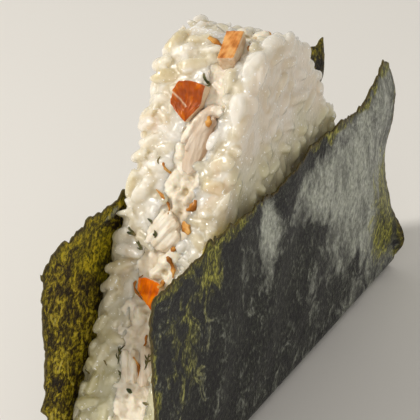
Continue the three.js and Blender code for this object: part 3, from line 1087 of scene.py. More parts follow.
@dataclass
class RiceLayer:
    """One of the two pressed rice layers, in millimetres."""

    sign: int
    laid: list[LaidGrain]
    triangle: RiceTriangle = field(default_factory=RiceTriangle)
    apart: float = 1.95
    grain_length: float = 5.2
    grain_width: float = 2.6
    flatness: float = 0.78
    nearby: float = 90.0  # square millimetres
    edge_round: float = 3.0
    core_sunk: float = 0.8
    roughness: float = 0.15
    fine_roughness: float = 0.09
    voxel: float = 0.235
    most_triangles: int = 192_000
    far_swell: float = 0.0
    seed: int = 11
    spines: list[Array] = field(default_factory=list)
    lumps: list[tuple[Array, float]] = field(default_factory=list)

    @property
    def name(self) -> str:
        """The layer's place in words."""
        return "front" if self.sign < 0 else "back"

    @property
    def face(self) -> float:
        """The distance of the mould's face from the middle plane."""
        return self.triangle.thickness / 2

    def on_rim(self, line: Array, out: Array, depth: float) -> tuple[Array, Array]:
        """Gives the place and the normal of the surface at a place on the rim, round the edge to the face.

        Args:
            line: the X and Z of the outline there.
            out: the outline's normal there.
            depth: the distance from the middle plane.

        Returns:
            The place and the normal.
        """
        past = min(0.98, max(0.0, (depth - self.face + self.edge_round) / self.edge_round))
        level = math.sqrt(1 - past * past)
        at = line - out * self.edge_round * (1 - level)
        top = np.array([at[0], self.sign * depth, at[1]])
        return top, np.array([out[0] * level, self.sign * past, out[1] * level])

    def crowded(self, spine: Array, distance: float) -> bool:
        """Tells whether a grain's spine comes too near to one laid before.

        Args:
            spine: points along the grain's middle.
            distance: the least distance between two spines.

        Returns:
            Whether one is nearer than that.
        """
        if not self.spines:
            return False
        laid = np.concatenate(self.spines)
        laid = laid[np.sum((laid - spine[2]) ** 2, axis=1) < self.nearby]
        gaps = np.sum((laid[:, None] - spine[None]) ** 2, axis=2)
        return bool(gaps.size and gaps.min() < distance**2)

    def lay(
        self,
        rng: Generator,
        top: Array,
        normal: Array,
        along: Array,
        size: Pair,
        distance: float,
    ) -> list[Shape]:
        """Lays one grain with its top at a place, if there is room.

        Args:
            rng: the source of its shape.
            top: the place that its top touches.
            normal: the way it faces.
            along: the way it lies.
            size: its length and width.
            distance: how near its spine may come to another's; 0 for any.

        Returns:
            Its points and faces, or nothing.
        """
        length, width = size
        depth = self.flatness * width
        normal = normal / np.linalg.norm(normal)
        along = along - normal * (along @ normal)
        along /= np.linalg.norm(along)
        tilt = rng.normal(0, 0.12 if abs(normal[1]) > 0.8 else 0.4) if distance else 0.0
        long_axis = along * math.cos(tilt) + normal * math.sin(tilt)
        facing = normal * math.cos(tilt) - along * math.sin(tilt)
        centre = top - normal * (depth / 2 + abs(math.sin(tilt)) * (length - width) / 2)
        spine = centre + np.linspace(-0.5, 0.5, 5)[:, None] * (length - width) * long_axis
        if distance and self.crowded(spine, distance):
            return []
        self.spines.append(spine)
        kind = rng.choice([GrainKind.PLUMP, GrainKind.PLUMP, GrainKind.BENT, GrainKind.SPLIT])
        shape, faces = Grain(kind, length, width, depth).shape(rng)
        reach = np.linspace(-0.375, 0.375, 7)[:, None] * length
        self.lumps.append((centre + reach * long_axis, float(rng.uniform(0, 1))))
        return [(place(shape, centre, long_axis, facing), faces)]

    def size(self, rng: Generator) -> Pair:
        """Picks a grain's length and width."""
        size = rng.uniform(0.88, 1.12)
        return self.grain_length * size * rng.uniform(0.85, 1.15), self.grain_width * size

    def chosen(self, rng: Generator) -> list[Shape]:
        """Lays the grains whose places are chosen.

        Args:
            rng: the source of their shapes.

        Returns:
            The points and faces of each.
        """
        grains = []
        for grain in self.laid:
            axes = Slope(self.triangle, grain.side).frame(grain.along, 0)
            right, up, out = (np.array(axes.col[k][:3]) for k in range(3))
            foot = np.array(axes.translation)[[0, 2]]
            top, normal = self.on_rim(foot, out[[0, 2]], abs(grain.across))
            top[1] = grain.across
            turn = math.radians(grain.turn)
            along = right * math.cos(turn) + up * math.sin(turn)
            size = (max(grain.length, 1.7 * grain.width), grain.width)
            grains += self.lay(rng, top + 0.35 * normal, normal, along, size, 0.0)
        return grains

    def rim_grains(
        self, rng: Generator, proud: Pair, apart: float, tries: int
    ) -> list[Shape]:
        """Packs grains on the slanted sides, round the apex, the corners and the edge of the face.

        Args:
            rng: the source of their places.
            proud: the least and the most that they stand out.
            apart: the least distance between their spines.
            tries: how many are tried.

        Returns:
            The points and faces of each.
        """
        line, normals = self.triangle.rim(0.25)
        walked = np.concatenate([[0], np.cumsum(np.linalg.norm(np.diff(line, axis=0), axis=1))])
        grains = []
        for along, share in rng.uniform((0, 0), (walked[-1], 1), (tries, 2)):
            at = int(np.searchsorted(walked, along))
            out = normals[at]
            if out[1] < -0.35 and line[at, 1] < 4:  # under the base, where the nori is
                continue
            spot = np.array([[line[at, 0], 0.0, line[at, 1]]])
            start = self.sign * float(self.triangle.filling_surface(self.sign, spot)[0]) + 0.4
            top, normal = self.on_rim(line[at], out, start + (self.face - start) * share)
            turn = rng.uniform(0, math.pi)
            axis = np.array([-out[1] * math.cos(turn), math.sin(turn), out[0] * math.cos(turn)])
            grains += self.lay(rng, top + normal * rng.uniform(*proud), normal, axis, self.size(rng), apart)
        return grains

    def face_grains(
        self, rng: Generator, proud: Pair, apart: float, tries: int
    ) -> list[Shape]:
        """Presses grains flat into the mould's face, above the nori and near the free edges.

        Args:
            rng: the source of their places.
            proud: the least and the most that they stand out.
            apart: the least distance between their spines.
            tries: how many are tried.

        Returns:
            The points and faces of each.
        """
        grains = []
        half, height = self.triangle.half_base, self.triangle.vertex_height
        margin = 2.2
        for x, z in rng.uniform((-half, 4), (half, height), (tries, 2)):
            inside = self.triangle.inset(x, z)
            below_apex = self.triangle.apex_centre + self.triangle.apex_radius - margin - z
            by_nori = z < 40 and inside > 9
            if inside < margin or below_apex < 0 or by_nori:
                continue
            turn = rng.uniform(0, math.pi)
            top = np.array([x, self.sign * (self.face + rng.uniform(*proud)), z])
            lean = np.array([rng.normal(0, 0.1), self.sign, rng.normal(0, 0.1)])
            axis = np.array([math.cos(turn), 0.0, math.sin(turn)])
            grains += self.lay(rng, top, lean, axis, self.size(rng), apart)
        return grains

    def core(self) -> Shape:
        """Makes the pressed mass under the grains that show.

        Returns:
            Its points and faces.
        """
        sunk, roundness = self.core_sunk, self.edge_round
        shares = [0.0, 0.35, 0.6, 0.75, 0.84, 0.9]
        insets = [sunk + roundness * (1 - math.sqrt(1 - max(0.0, (s - 0.6) / 0.32) ** 2)) for s in shares]
        return slab(self.triangle, list(zip(insets, shares)), self.sign)

    def build(self) -> Object:
        """Builds the fused layer.

        Returns:
            The finished piece, riding on the body.
        """
        rng = np.random.default_rng(self.seed + self.sign)
        parts = [self.core(), *self.chosen(rng)]
        for proud, apart in (((-0.1, 0.35), self.apart), ((-0.35, -0.05), 0.72 * self.apart)):
            parts += self.rim_grains(rng, proud, apart, 3600)
            parts += self.face_grains(rng, proud, apart, 3200)
        LOG.info("rice_%s: %d grains on its core", self.name, len(parts) - 1)
        rice = mesh_object(f"pressed_rice_{self.name}", *joined(parts))
        fuse(rice, self.voxel, 3)
        self.press(rice)
        self.lighten(rice)
        shade_lumps(rice, self.lumps, (1.05, 1.5))
        self.tint(rice)
        rice.data.materials.append(SteamedRice("Steamed short-grain rice, pressed wet").material())
        ride_as(rice, "rice", f"rice_{self.name}")
        return rice

    def press(self, rice: Object) -> None:
        """Roughens the grains, flattens what stands out of the mould's face and keeps it off the table.

        Args:
            rice: the fused layer.
        """
        points = points_of(rice)
        pitted = self.roughness * LatticeNoise(self.seed + 3).at(points, 1.5)
        pitted += self.fine_roughness * LatticeNoise(self.seed + 4).at(points, 0.8)
        depth = points[:, 1] * self.sign
        flat = smoothstep(depth, self.face - 1.6, self.face - 0.7)
        points += normals_of(rice) * (pitted * (1 - 0.8 * flat))[:, None]
        points[:, 1] += 0.8 * flat * (spread_out(rice, points, 6)[:, 1] - points[:, 1])
        depth = points[:, 1] * self.sign
        over = depth > self.face
        depth[over] = self.face + 0.4 * (depth[over] - self.face)
        points[:, 1] = self.sign * depth
        self.push_back(points)
        points[:, 2] = np.maximum(points[:, 2], self.triangle.bottom - 0.1)
        # The top of the slope on the right swells out.
        points[:, 0] += self.far_swell * smoothstep(points[:, 0], 0, 10) * smoothstep(points[:, 2], 38, 58)
        move_points(rice, points)

    def push_back(self, points: Array) -> None:
        """Pushes back what stands far out of the outline, as the hand that shaped the rice did.

        Args:
            points: the layer's points, which are changed.
        """
        allowed, pushed = 0.55, 0.7
        x, z = points[:, 0], points[:, 2]
        angle, centre, radius = self.triangle.side_angle, self.triangle.apex_centre, self.triangle.apex_radius
        from_centre = np.hypot(x, z - centre)
        above = z > centre + radius * math.cos(angle)
        out = np.where(above, from_centre - radius, -self.triangle.inset(x, z))
        back = pushed * np.maximum(out - allowed, 0)
        points[:, 0] -= back * np.where(above, x / from_centre, np.sign(x) * math.sin(angle))
        points[:, 2] -= back * np.where(above, (z - centre) / from_centre, math.cos(angle))

    def tint(self, rice: Object) -> None:
        """Stores where the rice is pressed flat, which also tints it as painted shade, and where it gets
        painted shade, yellow-green as light through the nori.

        Args:
            rice: the finished shape.
        """
        points = points_of(rice)
        depth = points[:, 1] * self.sign
        write_attribute(rice, "pressed", 0.5 * smoothstep(depth, self.face - 2.0, self.face - 0.3))
        # Painted shade, yellow-green as light through the nori: low down, and on the face just above the
        # nori's edge.
        height = points[:, 2] + 6 * LatticeNoise(self.seed).at(points, 9.0, 2)
        shade_by_nori_edge = 0.7 * (1 - smoothstep(height, 47, 54)) * smoothstep(depth, self.face - 2, self.face)
        write_attribute(rice, "painted_nori_shade", np.maximum(0.75 * (1 - smoothstep(height, 8, 48)), shade_by_nori_edge))

    def lighten(self, rice: Object) -> None:
        """Thins the mesh where the filling or the nori hides it.

        Args:
            rice: the pressed layer.
        """
        points = points_of(rice)
        deep = smoothstep(self.triangle.inset(points[:, 0], points[:, 2]), 4, 7)
        by_filling = points[:, 1] * self.sign < self.face - 2.5
        hidden = deep * np.where(by_filling | (points[:, 2] < 38), 1.0, 0.0)
        hidden = np.maximum(hidden, points[:, 2] < 1.2)
        thin_out(rice, hidden, min(1.0, self.most_triangles / triangles_in(rice)))


# ---------------------------------------------------------------- filling
@dataclass(frozen=True)
class Curd:
    """A lump of the filling at a chosen place: its size up the slope and across, its rise and its tone."""

    side: int
    along: float
    across: float
    length: float
    width: float
    proud: float
    tone: float
    turn: float = 0.0


@dataclass
class Filling:
    """The creamy layer between the rice, with its lumps of cream and of meat, in millimetres."""

    chosen: list[Curd]
    triangle: RiceTriangle = field(default_factory=RiceTriangle)
    sunk: float = 1.5
    lump_depth: float = 2.8
    lump_spacing: float = 2.6
    border_spacing: float = 2.1
    most_meat: float = 0.35  # in a lump whose place is not chosen
    voxel: float = 0.26
    seed: int = 23
    lumps: list[tuple[Array, float]] = field(default_factory=list)

    def lump(self, rng: Generator, at: Matrix, size: Triple, tone: float) -> Shape:
        """Makes one rounded lump.

        Args:
            rng: the source of its dents.
            at: its place and axes.
            size: its extents along those axes.
            tone: 0 for cream, 1 for meat.

        Returns:
            Its points and faces.
        """
        unit, faces = ball(9, 14)
        dents = LatticeNoise(int(rng.integers(1 << 30))).at(unit, 0.8, 2)
        shape = unit * (1 + 0.14 * dents)[:, None] * np.array(size) / 2
        axes = np.array(at.to_3x3())
        centre = np.array(at.translation)
        points = centre + shape @ axes.T
        inside = centre + np.linspace(-0.6, 0.6, 5)[:, None] * size[0] / 2 * axes[:, 0]
        self.lumps.append((inside, tone))
        return points, faces

    def borders(self, slope: Slope, along: float) -> list[float]:
        """Gives the Y at which the filling begins and ends at a place up a slope."""
        spot = np.array([slope.frame(along, 0).translation])
        return [float(self.triangle.filling_surface(sign, spot)[0]) for sign in (-1, 1)]

    def scattered_lumps(self, rng: Generator, slope: Slope, near: list[Curd]) -> list[Shape]:
        """Fills a slope with lumps of cream.

        Args:
            rng: the source of their places.
            slope: the side that they lie on.
            near: the chosen lumps there, which they keep clear of.

        Returns:
            The points and faces of each.
        """
        lumps, shares = [], 6
        for along, share in scattered(rng, (6, 0), (88, shares), self.lump_spacing, 1400):
            front, back = self.borders(slope, along)
            across = front + (back - front) * share / shares
            if any(math.hypot(c.along - along, c.across - across) < 1.8 for c in near):
                continue
            sunk = rng.uniform(-2.2, -1.7) - (0.5 if along < 86 else 0.0)
            at = slope.frame(along, across, sunk, rng.uniform(0, 180))
            rng.random()  # an unused draw, which keeps the ones after it the same
            size = rng.uniform(3.4, 6.0)
            tone = float(rng.uniform(0, self.most_meat))
            lumps.append(self.lump(rng, at, (size, size * 0.75, self.lump_depth), tone))
        return lumps

    def border_lumps(self, rng: Generator, slope: Slope) -> list[Shape]:
        """Squeezes cream out along both borders of the rice, and more of it low down.

        Args:
            rng: the source of its places.
            slope: the side that it lies on.

        Returns:
            The points and faces of each lump.
        """
        lumps = []
        places = np.arange(7, 87, self.border_spacing)
        for along in places + rng.normal(0, 0.4, len(places)):
            more = 0.4 if along < 46 else 0.0
            for sign, border in zip((-1, 1), self.borders(slope, along)):
                across = border + sign * (rng.uniform(0, 0.5) + more)
                at = slope.frame(along, across, rng.uniform(-2.5, -2.1) + more, rng.uniform(60, 120))
                tone = float(rng.uniform(0, self.most_meat))
                lumps.append(self.lump(rng, at, (3.8, 2.6, self.lump_depth), tone))
        return lumps

    def build(self) -> Object:
        """Builds the fused layer.

        Returns:
            The finished piece, riding on the body.
        """
        rng = np.random.default_rng(self.seed)
        shares = [0.0, 0.25, 0.5, 0.75, 1.0]
        parts = [slab(self.triangle, [(self.sunk, share) for share in shares], 0)]
        for side in (-1, 1):
            slope = Slope(self.triangle, side)
            near = [c for c in self.chosen if c.side == side]
            for c in near:
                at = slope.frame(c.along, c.across, c.proud - 1.3, c.turn + 90)
                parts.append(self.lump(rng, at, (c.length, c.width, self.lump_depth), c.tone))
            parts += self.scattered_lumps(rng, slope, near)
            parts += self.border_lumps(rng, slope)
        filling = mesh_object("creamy_chicken_filling", *joined(parts))
        fuse(filling, self.voxel, 4)
        points = points_of(filling)
        points[:, 2] = np.maximum(points[:, 2], self.triangle.bottom - 0.1)
        curds = 0.3 * LatticeNoise(5).at(points, 1.7, 3) - 0.25 * np.abs(LatticeNoise(6).at(points, 2.2, 2))
        move_points(filling, points + normals_of(filling) * curds[:, None])
        points = points_of(filling)
        deep = smoothstep(self.triangle.inset(points[:, 0], points[:, 2]), 4, 7)
        thin_out(filling, deep, 0.35)
        shade_lumps(filling, self.lumps, (1.6, 3.0))
        filling.data.materials.append(CreamSauce("Cream sauce with shredded chicken, stirred").material())
        ride_as(filling, "filling", "filling")
        return filling


# ---------------------------------------------------------------- chicken
class ChickenForm(Enum):
    """How a piece of smoked chicken was parted from the breast."""

    CUT = "cut"
    TORN = "torn"


@dataclass(frozen=True)
class Strand:
    """A run of muscle: the places it passes on the slope (along, across), its size, rise and dimness, its
    share of painted shade.
    """

    path: list[Pair]
    width: float
    depth: float
    proud: float
    dim: float = 0.0

    def walk(self, count: int) -> tuple[Array, ...]:
        """Gives the along and across of evenly spaced places between the path's corners."""
        t, corners = np.linspace(0, 1, count), np.linspace(0, 1, len(self.path))
        return tuple(np.interp(t, corners, values) for values in zip(*self.path))

    def shape(self, slope: Slope) -> Shape:
        """Sweeps the strand along its path.

        Args:
            slope: the side that it lies on.

        Returns:
            Its points and faces.
        """
        stations, sides = 15, 12
        t = np.linspace(0, 1, stations)
        along, across = self.walk(stations)
        for values in (along, across):
            for _ in range(6):
                values[1:-1] = (values[:-2] + 2 * values[1:-1] + values[2:]) / 4
        frames = [slope.frame(a, c, self.proud) for a, c in zip(along, across)]
        centres = np.array([f.translation for f in frames])
        points = []
        for k, frame in enumerate(frames):
            ahead = centres[min(k + 1, stations - 1)] - centres[max(k - 1, 0)]
            ahead /= np.linalg.norm(ahead)
            normal = np.array(frame.col[2][:3])
            beside = np.cross(ahead, normal)
            fat = math.sqrt(max(0.0, 1 - (2 * t[k] - 1) ** 4)) + 0.05
            for a in np.arange(sides) * 2 * math.pi / sides:
                ring = beside * math.cos(a) * self.width / 2 + normal * (math.sin(a) - 1) * self.depth / 2
                points.append(centres[k] + ring * fat)
        return np.array(points), tube_faces(stations, sides)


@dataclass
class ChickenPiece:
    """One of the larger pieces that show on the slanted sides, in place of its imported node."""

    node: str
    side: int
    along: float
    across: float
    proud: float
    turn: float
    form: ChickenForm
    depth: float
    outline: list[Pair]
    finish: SmokedChicken
    split: bool = False
    length: float = 10.0
    width: float = 4.2
    voxel: float = 0.13
    strands: list[Strand] = field(default_factory=list)
    triangle: RiceTriangle = field(default_factory=RiceTriangle)

    def place(self) -> Matrix:
        """Gives the piece's axes: Z out of it, Y up the slope, origin at the middle of its outer face."""
        return Slope(self.triangle, self.side).frame(self.along, self.across, self.proud, self.turn)

    def cut_block(self) -> Shape:
        """Makes a knife-cut block of the outline's shape, tapering a little away from its outer face.

        Returns:
            Its points and faces.
        """
        rim = np.array(self.outline)
        middle = rim.mean(axis=0)
        points = []
        for depth, shrink in ((0.0, 1.0), (-0.5 * self.depth, 0.97), (-self.depth, 0.86)):
            at = middle + (rim - middle) * shrink
            points.append(np.column_stack([at, np.full(len(at), depth)]))
        n = len(rim)
        faces = [
            [k * n + i, (k + 1) * n + i, (k + 1) * n + (i + 1) % n, k * n + (i + 1) % n]
            for k in range(2)
            for i in range(n)
        ]
        faces += [list(range(n)), [2 * n + i for i in reversed(range(n))]]
        return np.concatenate(points), faces

    def torn_bundle(self, rng: Generator) -> Shape:
        """Makes a torn strip: its own strands, or two layers of them along Y, pressed together.

        Args:
            rng: the source of their lengths and shifts.

        Returns:
            Its points and faces.
        """
        if self.strands:
            points, faces = joined([s.shape(Slope(self.triangle, self.side)) for s in self.strands])
            back = np.array(self.place().inverted())
            return points @ back[:3, :3].T + back[:3, 3], faces
        strands = []
        count = max(2, round(self.width / 1.7))
        for layer in range(2):
            for k in range(count):
                unit, faces = ball(11, 10)
                length = self.length * rng.uniform(0.72, 1.0) * (1 - 0.12 * layer)
                x = (k / (count - 1) - 0.5) * self.width * 0.78
                arch = -0.9 * (2 * x / self.width) ** 2
                shape = unit[:, [1, 0, 2]] * np.array([2.9, length, self.depth * 0.7]) / 2
                sway = 0.5 * math.sin(k * 1.9 + 1.3 * layer)
                shape[:, 0] += x + sway * (2 * shape[:, 1] / self.length) ** 2
                shape[:, 1] += rng.normal(0, 0.05) * self.length
                shape[:, 2] += arch - self.depth * (0.33 + 0.36 * layer)
                strands.append((shape, faces))
        return joined(strands)

    def split_kite(self, local: Array, skin: Array) -> tuple[Array, Array, Array]:
        """Gives a kite its fibres, which fan out from its lower tip, its raised top rim and its split.

        Args:
            local: the piece's points about its own middle.
            skin: how browned each is.

        Returns:
            The moved points, the browning and the fibre coordinates.
        """
        rim = np.array(self.outline)
        tip = rim[np.argmin(rim[:, 1])]
        away = local[:, :2] - tip
        reach = np.hypot(*away.T)
        angle = np.arctan2(away[:, 0], away[:, 1])
        start, end = rim[np.argmin(rim[:, 0])] + (0.2, 2.0), tip + (-0.6, 2.7)
        share = np.clip(((local[:, :2] - start) @ (end - start)) / np.sum((end - start) ** 2), 0, 1)
        from_split = np.hypot(*(local[:, :2] - start - share[:, None] * (end - start)).T)
        upper = smoothstep(local[:, 2], -1.6, -0.2)
        furrows = 0.09 * np.sin(angle * 26 + 1.5 * np.sin(reach)) * smoothstep(reach, 0.6, 2.5)
        dished = 0.45 * smoothstep(reach, 4.2, 6.6) - 0.35 * np.exp(-(((reach - 4.0) / 1.4) ** 2))
        crack = -0.35 * np.exp(-((from_split / 0.22) ** 2))
        moved = local.copy()
        moved[:, 2] += upper * (furrows + dished + crack)
        bared = 1 - 0.8 * np.exp(-((from_split / 0.16) ** 2))
        return moved, skin * bared, np.column_stack([angle * 4.0, reach, local[:, 2]])

    def dimness(self, piece: Object) -> Array:
        """Gives how much painted shade each vertex's strand gets, blended where strands meet.

        Args:
            piece: the fused piece in its place.

        Returns:
            0 for pale to 1 for dim, for each vertex.
        """
        points = points_of(piece)
        if not self.strands:
            return np.zeros(len(points))
        slope = Slope(self.triangle, self.side)
        gaps = []
        for strand in self.strands:
            centres = np.array([slope.frame(a, c, strand.proud).translation for a, c in zip(*strand.walk(9))])
            distance = np.linalg.norm(points[:, None] - centres[None], axis=2).min(axis=1)
            gaps.append(distance - strand.width / 2)
        nearest = np.argmin(np.array(gaps), axis=0)
        dim = np.array([strand.dim for strand in self.strands])[nearest]
        return spread_out(piece, dim[:, None], 3)[:, 0]

    def build(self) -> Object:
        """Builds the piece.

        Returns:
            The finished piece, riding on the body.
        """
        rng = np.random.default_rng(hash_of(self.node))
        cut = self.form is ChickenForm.CUT
        local, faces = self.cut_block() if cut else self.torn_bundle(rng)
        piece = mesh_object(self.node + "_meat", local, faces)
        fuse(piece, self.voxel, 3 if cut else 8)
        local = points_of(piece)
        noise = LatticeNoise(int(rng.integers(1 << 30)))
        fibres = noise.at(local, (0.42, 3.2, 0.42), 2)
        normals = normals_of(piece)
        local = local + normals * ((0.07 if cut else 0.13) * fibres + 0.1 * noise.at(local, 2.4))[:, None]
        wander = 0.22 * noise.at(local + 40, 0.9, 2)
        skin = smoothstep(local[:, 2] + wander, -1.1, -0.35) * smoothstep(normals[:, 2], 0.15, 0.6)
        grain = local.copy()
        if not cut:
            ridge = noise.at(local + 90, (2.0, 3.0, 2.0), 2)
            skin = 0.6 * smoothstep(local[:, 0] / self.width + 0.15 * ridge, 0.42, 0.52)
            skin *= smoothstep(ridge, 0, 0.3)
        if self.split:
            local, skin, grain = self.split_kite(local, skin)
        matrix = self.place()
        axes, origin = np.array(matrix.to_3x3()), np.array(matrix.translation)
        move_points(piece, origin + local @ axes.T)
        # Dim strands get painted shade; on strand pieces the brown side shows only on them, partly browned
        # skin and partly painted shade.
        dim = self.dimness(piece)
        write_attribute(piece, "browned", skin * dim if self.strands else skin)
        write_attribute(piece, "dim", dim)
        write_vectors(piece, "grain", grain)
        piece.data.materials.append(self.finish.material())
        ride_as(piece, "browned_chicken" if cut else "chicken_meat", self.node)
        return piece


def hash_of(text: str) -> int:
    """Gives a number that stays the same for a name in every run."""
    return sum((i + 1) * ord(letter) for i, letter in enumerate(text))


# ---------------------------------------------------------------- nori
@dataclass(frozen=True)
class EndBend:
    """A bump by which a flap's free end bends away from the rice (+) or in past it (-)."""

    out: float
    z: float
    spread: float


@dataclass(frozen=True)
class EdgeBump:
    """A bump by which a torn edge rises above the sheet's height (+) or dips below it (-)."""

    rise: float
    x: float
    spread: float


@dataclass(frozen=True)
class SheetSpot:
    """A soft-edged place on the sheet: its middle, its half sizes and its strength."""

    sign: int
    x: float
    z: float
    half_x: float
    half_z: float
    strength: float


@dataclass
class NoriSheet:
    """The folded sheet of nori that the rice stands in, in millimetres."""

    triangle: RiceTriangle = field(default_factory=RiceTriangle)
    length: float = 93.5
    height: float = 46.8
    packed_thickness: float = 0.5
    thickness: float = 0.32
    fold_radius: float = 2.6
    gap: float = 0.3
    cell: float = 0.5
    curl_x: float = -28.8
    scrap_z: float = 17.4
    bends: dict[tuple[int, int], list[EndBend]] = field(
        default_factory=lambda: {
            (-1, -1): [EndBend(1.3, 48, 5), EndBend(0.8, 30, 16)],
            (-1, 1): [EndBend(2.3, 7.5, 5), EndBend(-2.6, 25, 10), EndBend(-2.0, 48, 5)],
            (1, -1): [EndBend(-1.8, 43, 12)],
            (1, 1): [EndBend(-5.4, 44, 14)],
        }
    )
    torn_edge: dict[int, list[EdgeBump]] = field(
        default_factory=lambda: {
            -1: rows(EdgeBump, [
                (-0.9, -20, 30), (-1.3, -4, 4), (-2.2, 28.5, 5), (2.2, 42.5, 3.5),
                (-1.3, -46.8, 3), (2.4, -29.3, 1.1), (1.2, -26.8, 0.8),
            ]),
            1: rows(EdgeBump, [(-1.0, 0, 90), (3.0, 47, 8), (-1.3, -46.8, 3)]),
        }
    )
    # On the inner face, the olive of these thin places is painted light from behind.
    thin_spots: list[SheetSpot] = field(
        default_factory=lambda: rows(SheetSpot, [
            (-1, -27, 43, 4, 7, 0.8), (-1, 42, 17, 8, 12, 1.2), (1, 46, 14, 5, 12, 0.9),
            (-1, -37, 32, 8, 17, 0.42), (-1, -2, 44, 10, 5, -0.8), (1, -32, 41, 9, 6, 0.8),
            (1, -26, 30, 5, 12, 0.6),
        ])
    )
    # Places of painted sheen; below zero it is taken away.
    sheen_spots: list[SheetSpot] = field(
        default_factory=lambda: rows(SheetSpot, [
            (-1, 34, 26, 24, 30, 0.9), (-1, 12, 38, 12, 9, 0.6), (-1, -8, 39, 3.5, 9, 0.9),
            (-1, 6, 47, 9, 4, -1.2), (-1, 4, 26, 9, 5, -0.8), (-1, 20, 10, 12, 4, -0.6),
            (-1, -2, 44, 3, 2.5, -0.8), (1, -24, 45, 3, 1.5, 1.2), (1, 16, 28, 20, 14, 0.5),
        ])
    )

    def middle_line(self) -> Array:
        """Walks the sheet's middle across the fold, from the back flap's top to the front flap's top.

        Returns:
            Rows of y, z, outward y, outward z, flap sign (0 off the flaps) and distance walked.
        """
        half = self.triangle.thickness / 2 + self.gap + self.packed_thickness / 2
        base, radius = self.packed_thickness / 2, self.fold_radius
        flap_steps = round((self.height - base - radius) / self.cell)
        z = np.linspace(self.height, base + radius, flap_steps, endpoint=False)
        back = [(half, value, 1.0, 0.0, 1.0) for value in z]
        turn = np.linspace(math.pi / 2, 0, 9)
        outward = [(math.sin(a), -math.cos(a)) for a in turn]
        bend = [(half - radius + radius * y, base + radius + radius * z, y, z, 0.0) for y, z in outward]
        under = [(y, base, 0.0, -1.0, 0.0) for y in np.linspace(half - radius, radius - half, 34)[1:-1]]
        front = [(-y, value, -oy, oz, -s) for y, value, oy, oz, s in reversed(back + bend)]
        line = np.array(back + bend + under + front)
        walked = np.concatenate([[0], np.cumsum(np.linalg.norm(np.diff(line[:, :2], axis=0), axis=1))])
        return np.column_stack([line, walked])

    def flap_set(self, sign: int, x: Array, z: Array) -> Array:
        """Gives how far a flap stands out from the line that the rice's face would give it.

        Args:
            sign: -1 for the front flap, +1 for the back one.
            x: places along the base.
            z: heights.

        Returns:
            The outward distance at each place.
        """
        reach = self.triangle.reach(z)
        free = np.maximum(0, np.abs(x) - reach) / (self.length / 2 - reach)
        bend = np.zeros(x.shape)
        for end in (-1, 1):
            for b in self.bends[(sign, end)]:
                bend += np.where(np.sign(x + 1e-9) == end, b.out * np.exp(-(((z - b.z) / b.spread) ** 2)), 0)
        wave = 0.4 + 0.25 * np.sin(0.33 * x + 0.11 * z * sign) + 0.15 * np.sin(0.19 * z - 0.41 * x)
        lift = 0.3 + wave if sign < 0 else 0.5 * wave
        return smoothstep(z, 3, 16) * lift * (1 - free) + smoothstep(z, 1, 6) * bend * free**1.5

    def torn(self, sign: int, x: Array) -> Array:
        """Gives how far the torn top edge of a flap stands above the sheet's height.

        Args:
            sign: -1 for the front flap, +1 for the back one.
            x: places along the base.

        Returns:
            The rise at each place.
        """
        spots = np.column_stack([x, np.full(len(x), 10.0 * sign), np.zeros(len(x))])
        ragged = 0.45 * LatticeNoise(31).at(spots, 5.0) + 0.32 * LatticeNoise(32).at(spots, 1.4, 2)
        return ragged + sum(b.rise * np.exp(-(((x - b.x) / b.spread) ** 2)) for b in self.torn_edge[sign])

    def spots_at(self, spots: list[SheetSpot], x: Array, z: Array, sign: Array) -> Array:
        """Adds up soft-edged places on the sheet.

        Args:
            spots: the places.
            x: where to sample along the base.
            z: the heights.
            sign: the flap that each sample is on.

        Returns:
            The total at each sample.
        """
        total = np.zeros(x.shape)
        for spot in spots:
            near = ((x - spot.x) / spot.half_x) ** 2 + ((z - spot.z) / spot.half_z) ** 2
            total += np.where(sign == spot.sign, spot.strength * np.exp(-near), 0)
        return total

    def build(self) -> Object:
        """Builds the sheet.

        Returns:
            The finished piece, riding on the body.
        """
        line = self.middle_line()
        columns = round(self.length / self.cell)
        x0 = np.linspace(-self.length / 2, self.length / 2, columns + 1)
        x, row = np.meshgrid(x0, np.arange(len(line)), indexing="xy")
        x, row = x.ravel(), row.ravel()
        y, z, out_y, out_z, sign, walked = line[row].T
        flap = np.where(y > 0, 1, -1)
        top = np.concatenate([self.torn(1, x0), self.torn(-1, x0)]).reshape(2, -1)
        rise = np.where(flap > 0, np.tile(top[0], len(line)), np.tile(top[1], len(line)))
        stretch = smoothstep(z, self.height - 9, self.height) ** 2
        spread = np.where(sign > 0, self.flap_set(1, x, z), self.flap_set(-1, x, z)) * np.abs(sign)
        spots = np.column_stack([x, walked, np.zeros(len(x))])
        end = smoothstep(np.abs(x), self.length / 2 - 1.6, self.length / 2)
        fringe = 0.5 * LatticeNoise(46).at(spots, 0.9) * smoothstep(z, self.height - 1.3, self.height)
        nibble = 0.4 * LatticeNoise(41).at(spots, 1.4, 2) + 0.3 * LatticeNoise(42).at(spots, 6.0)
        free = smoothstep(np.abs(x) - self.triangle.reach(z), -2, 5)
        press = 0.12 * LatticeNoise(43).at(spots, 4.0, 2) + 0.1
        crumple = 0.3 * LatticeNoise(44).at(spots, (5.0, 9.0, 1.0), 2)
        wrinkle = 0.05 * LatticeNoise(45).at(spots, (1.2, 3.5, 1.0), 2)
        relief = (1 - free) * press + free * crumple + wrinkle
        out = spread + relief * smoothstep(z, 1.5, 8)
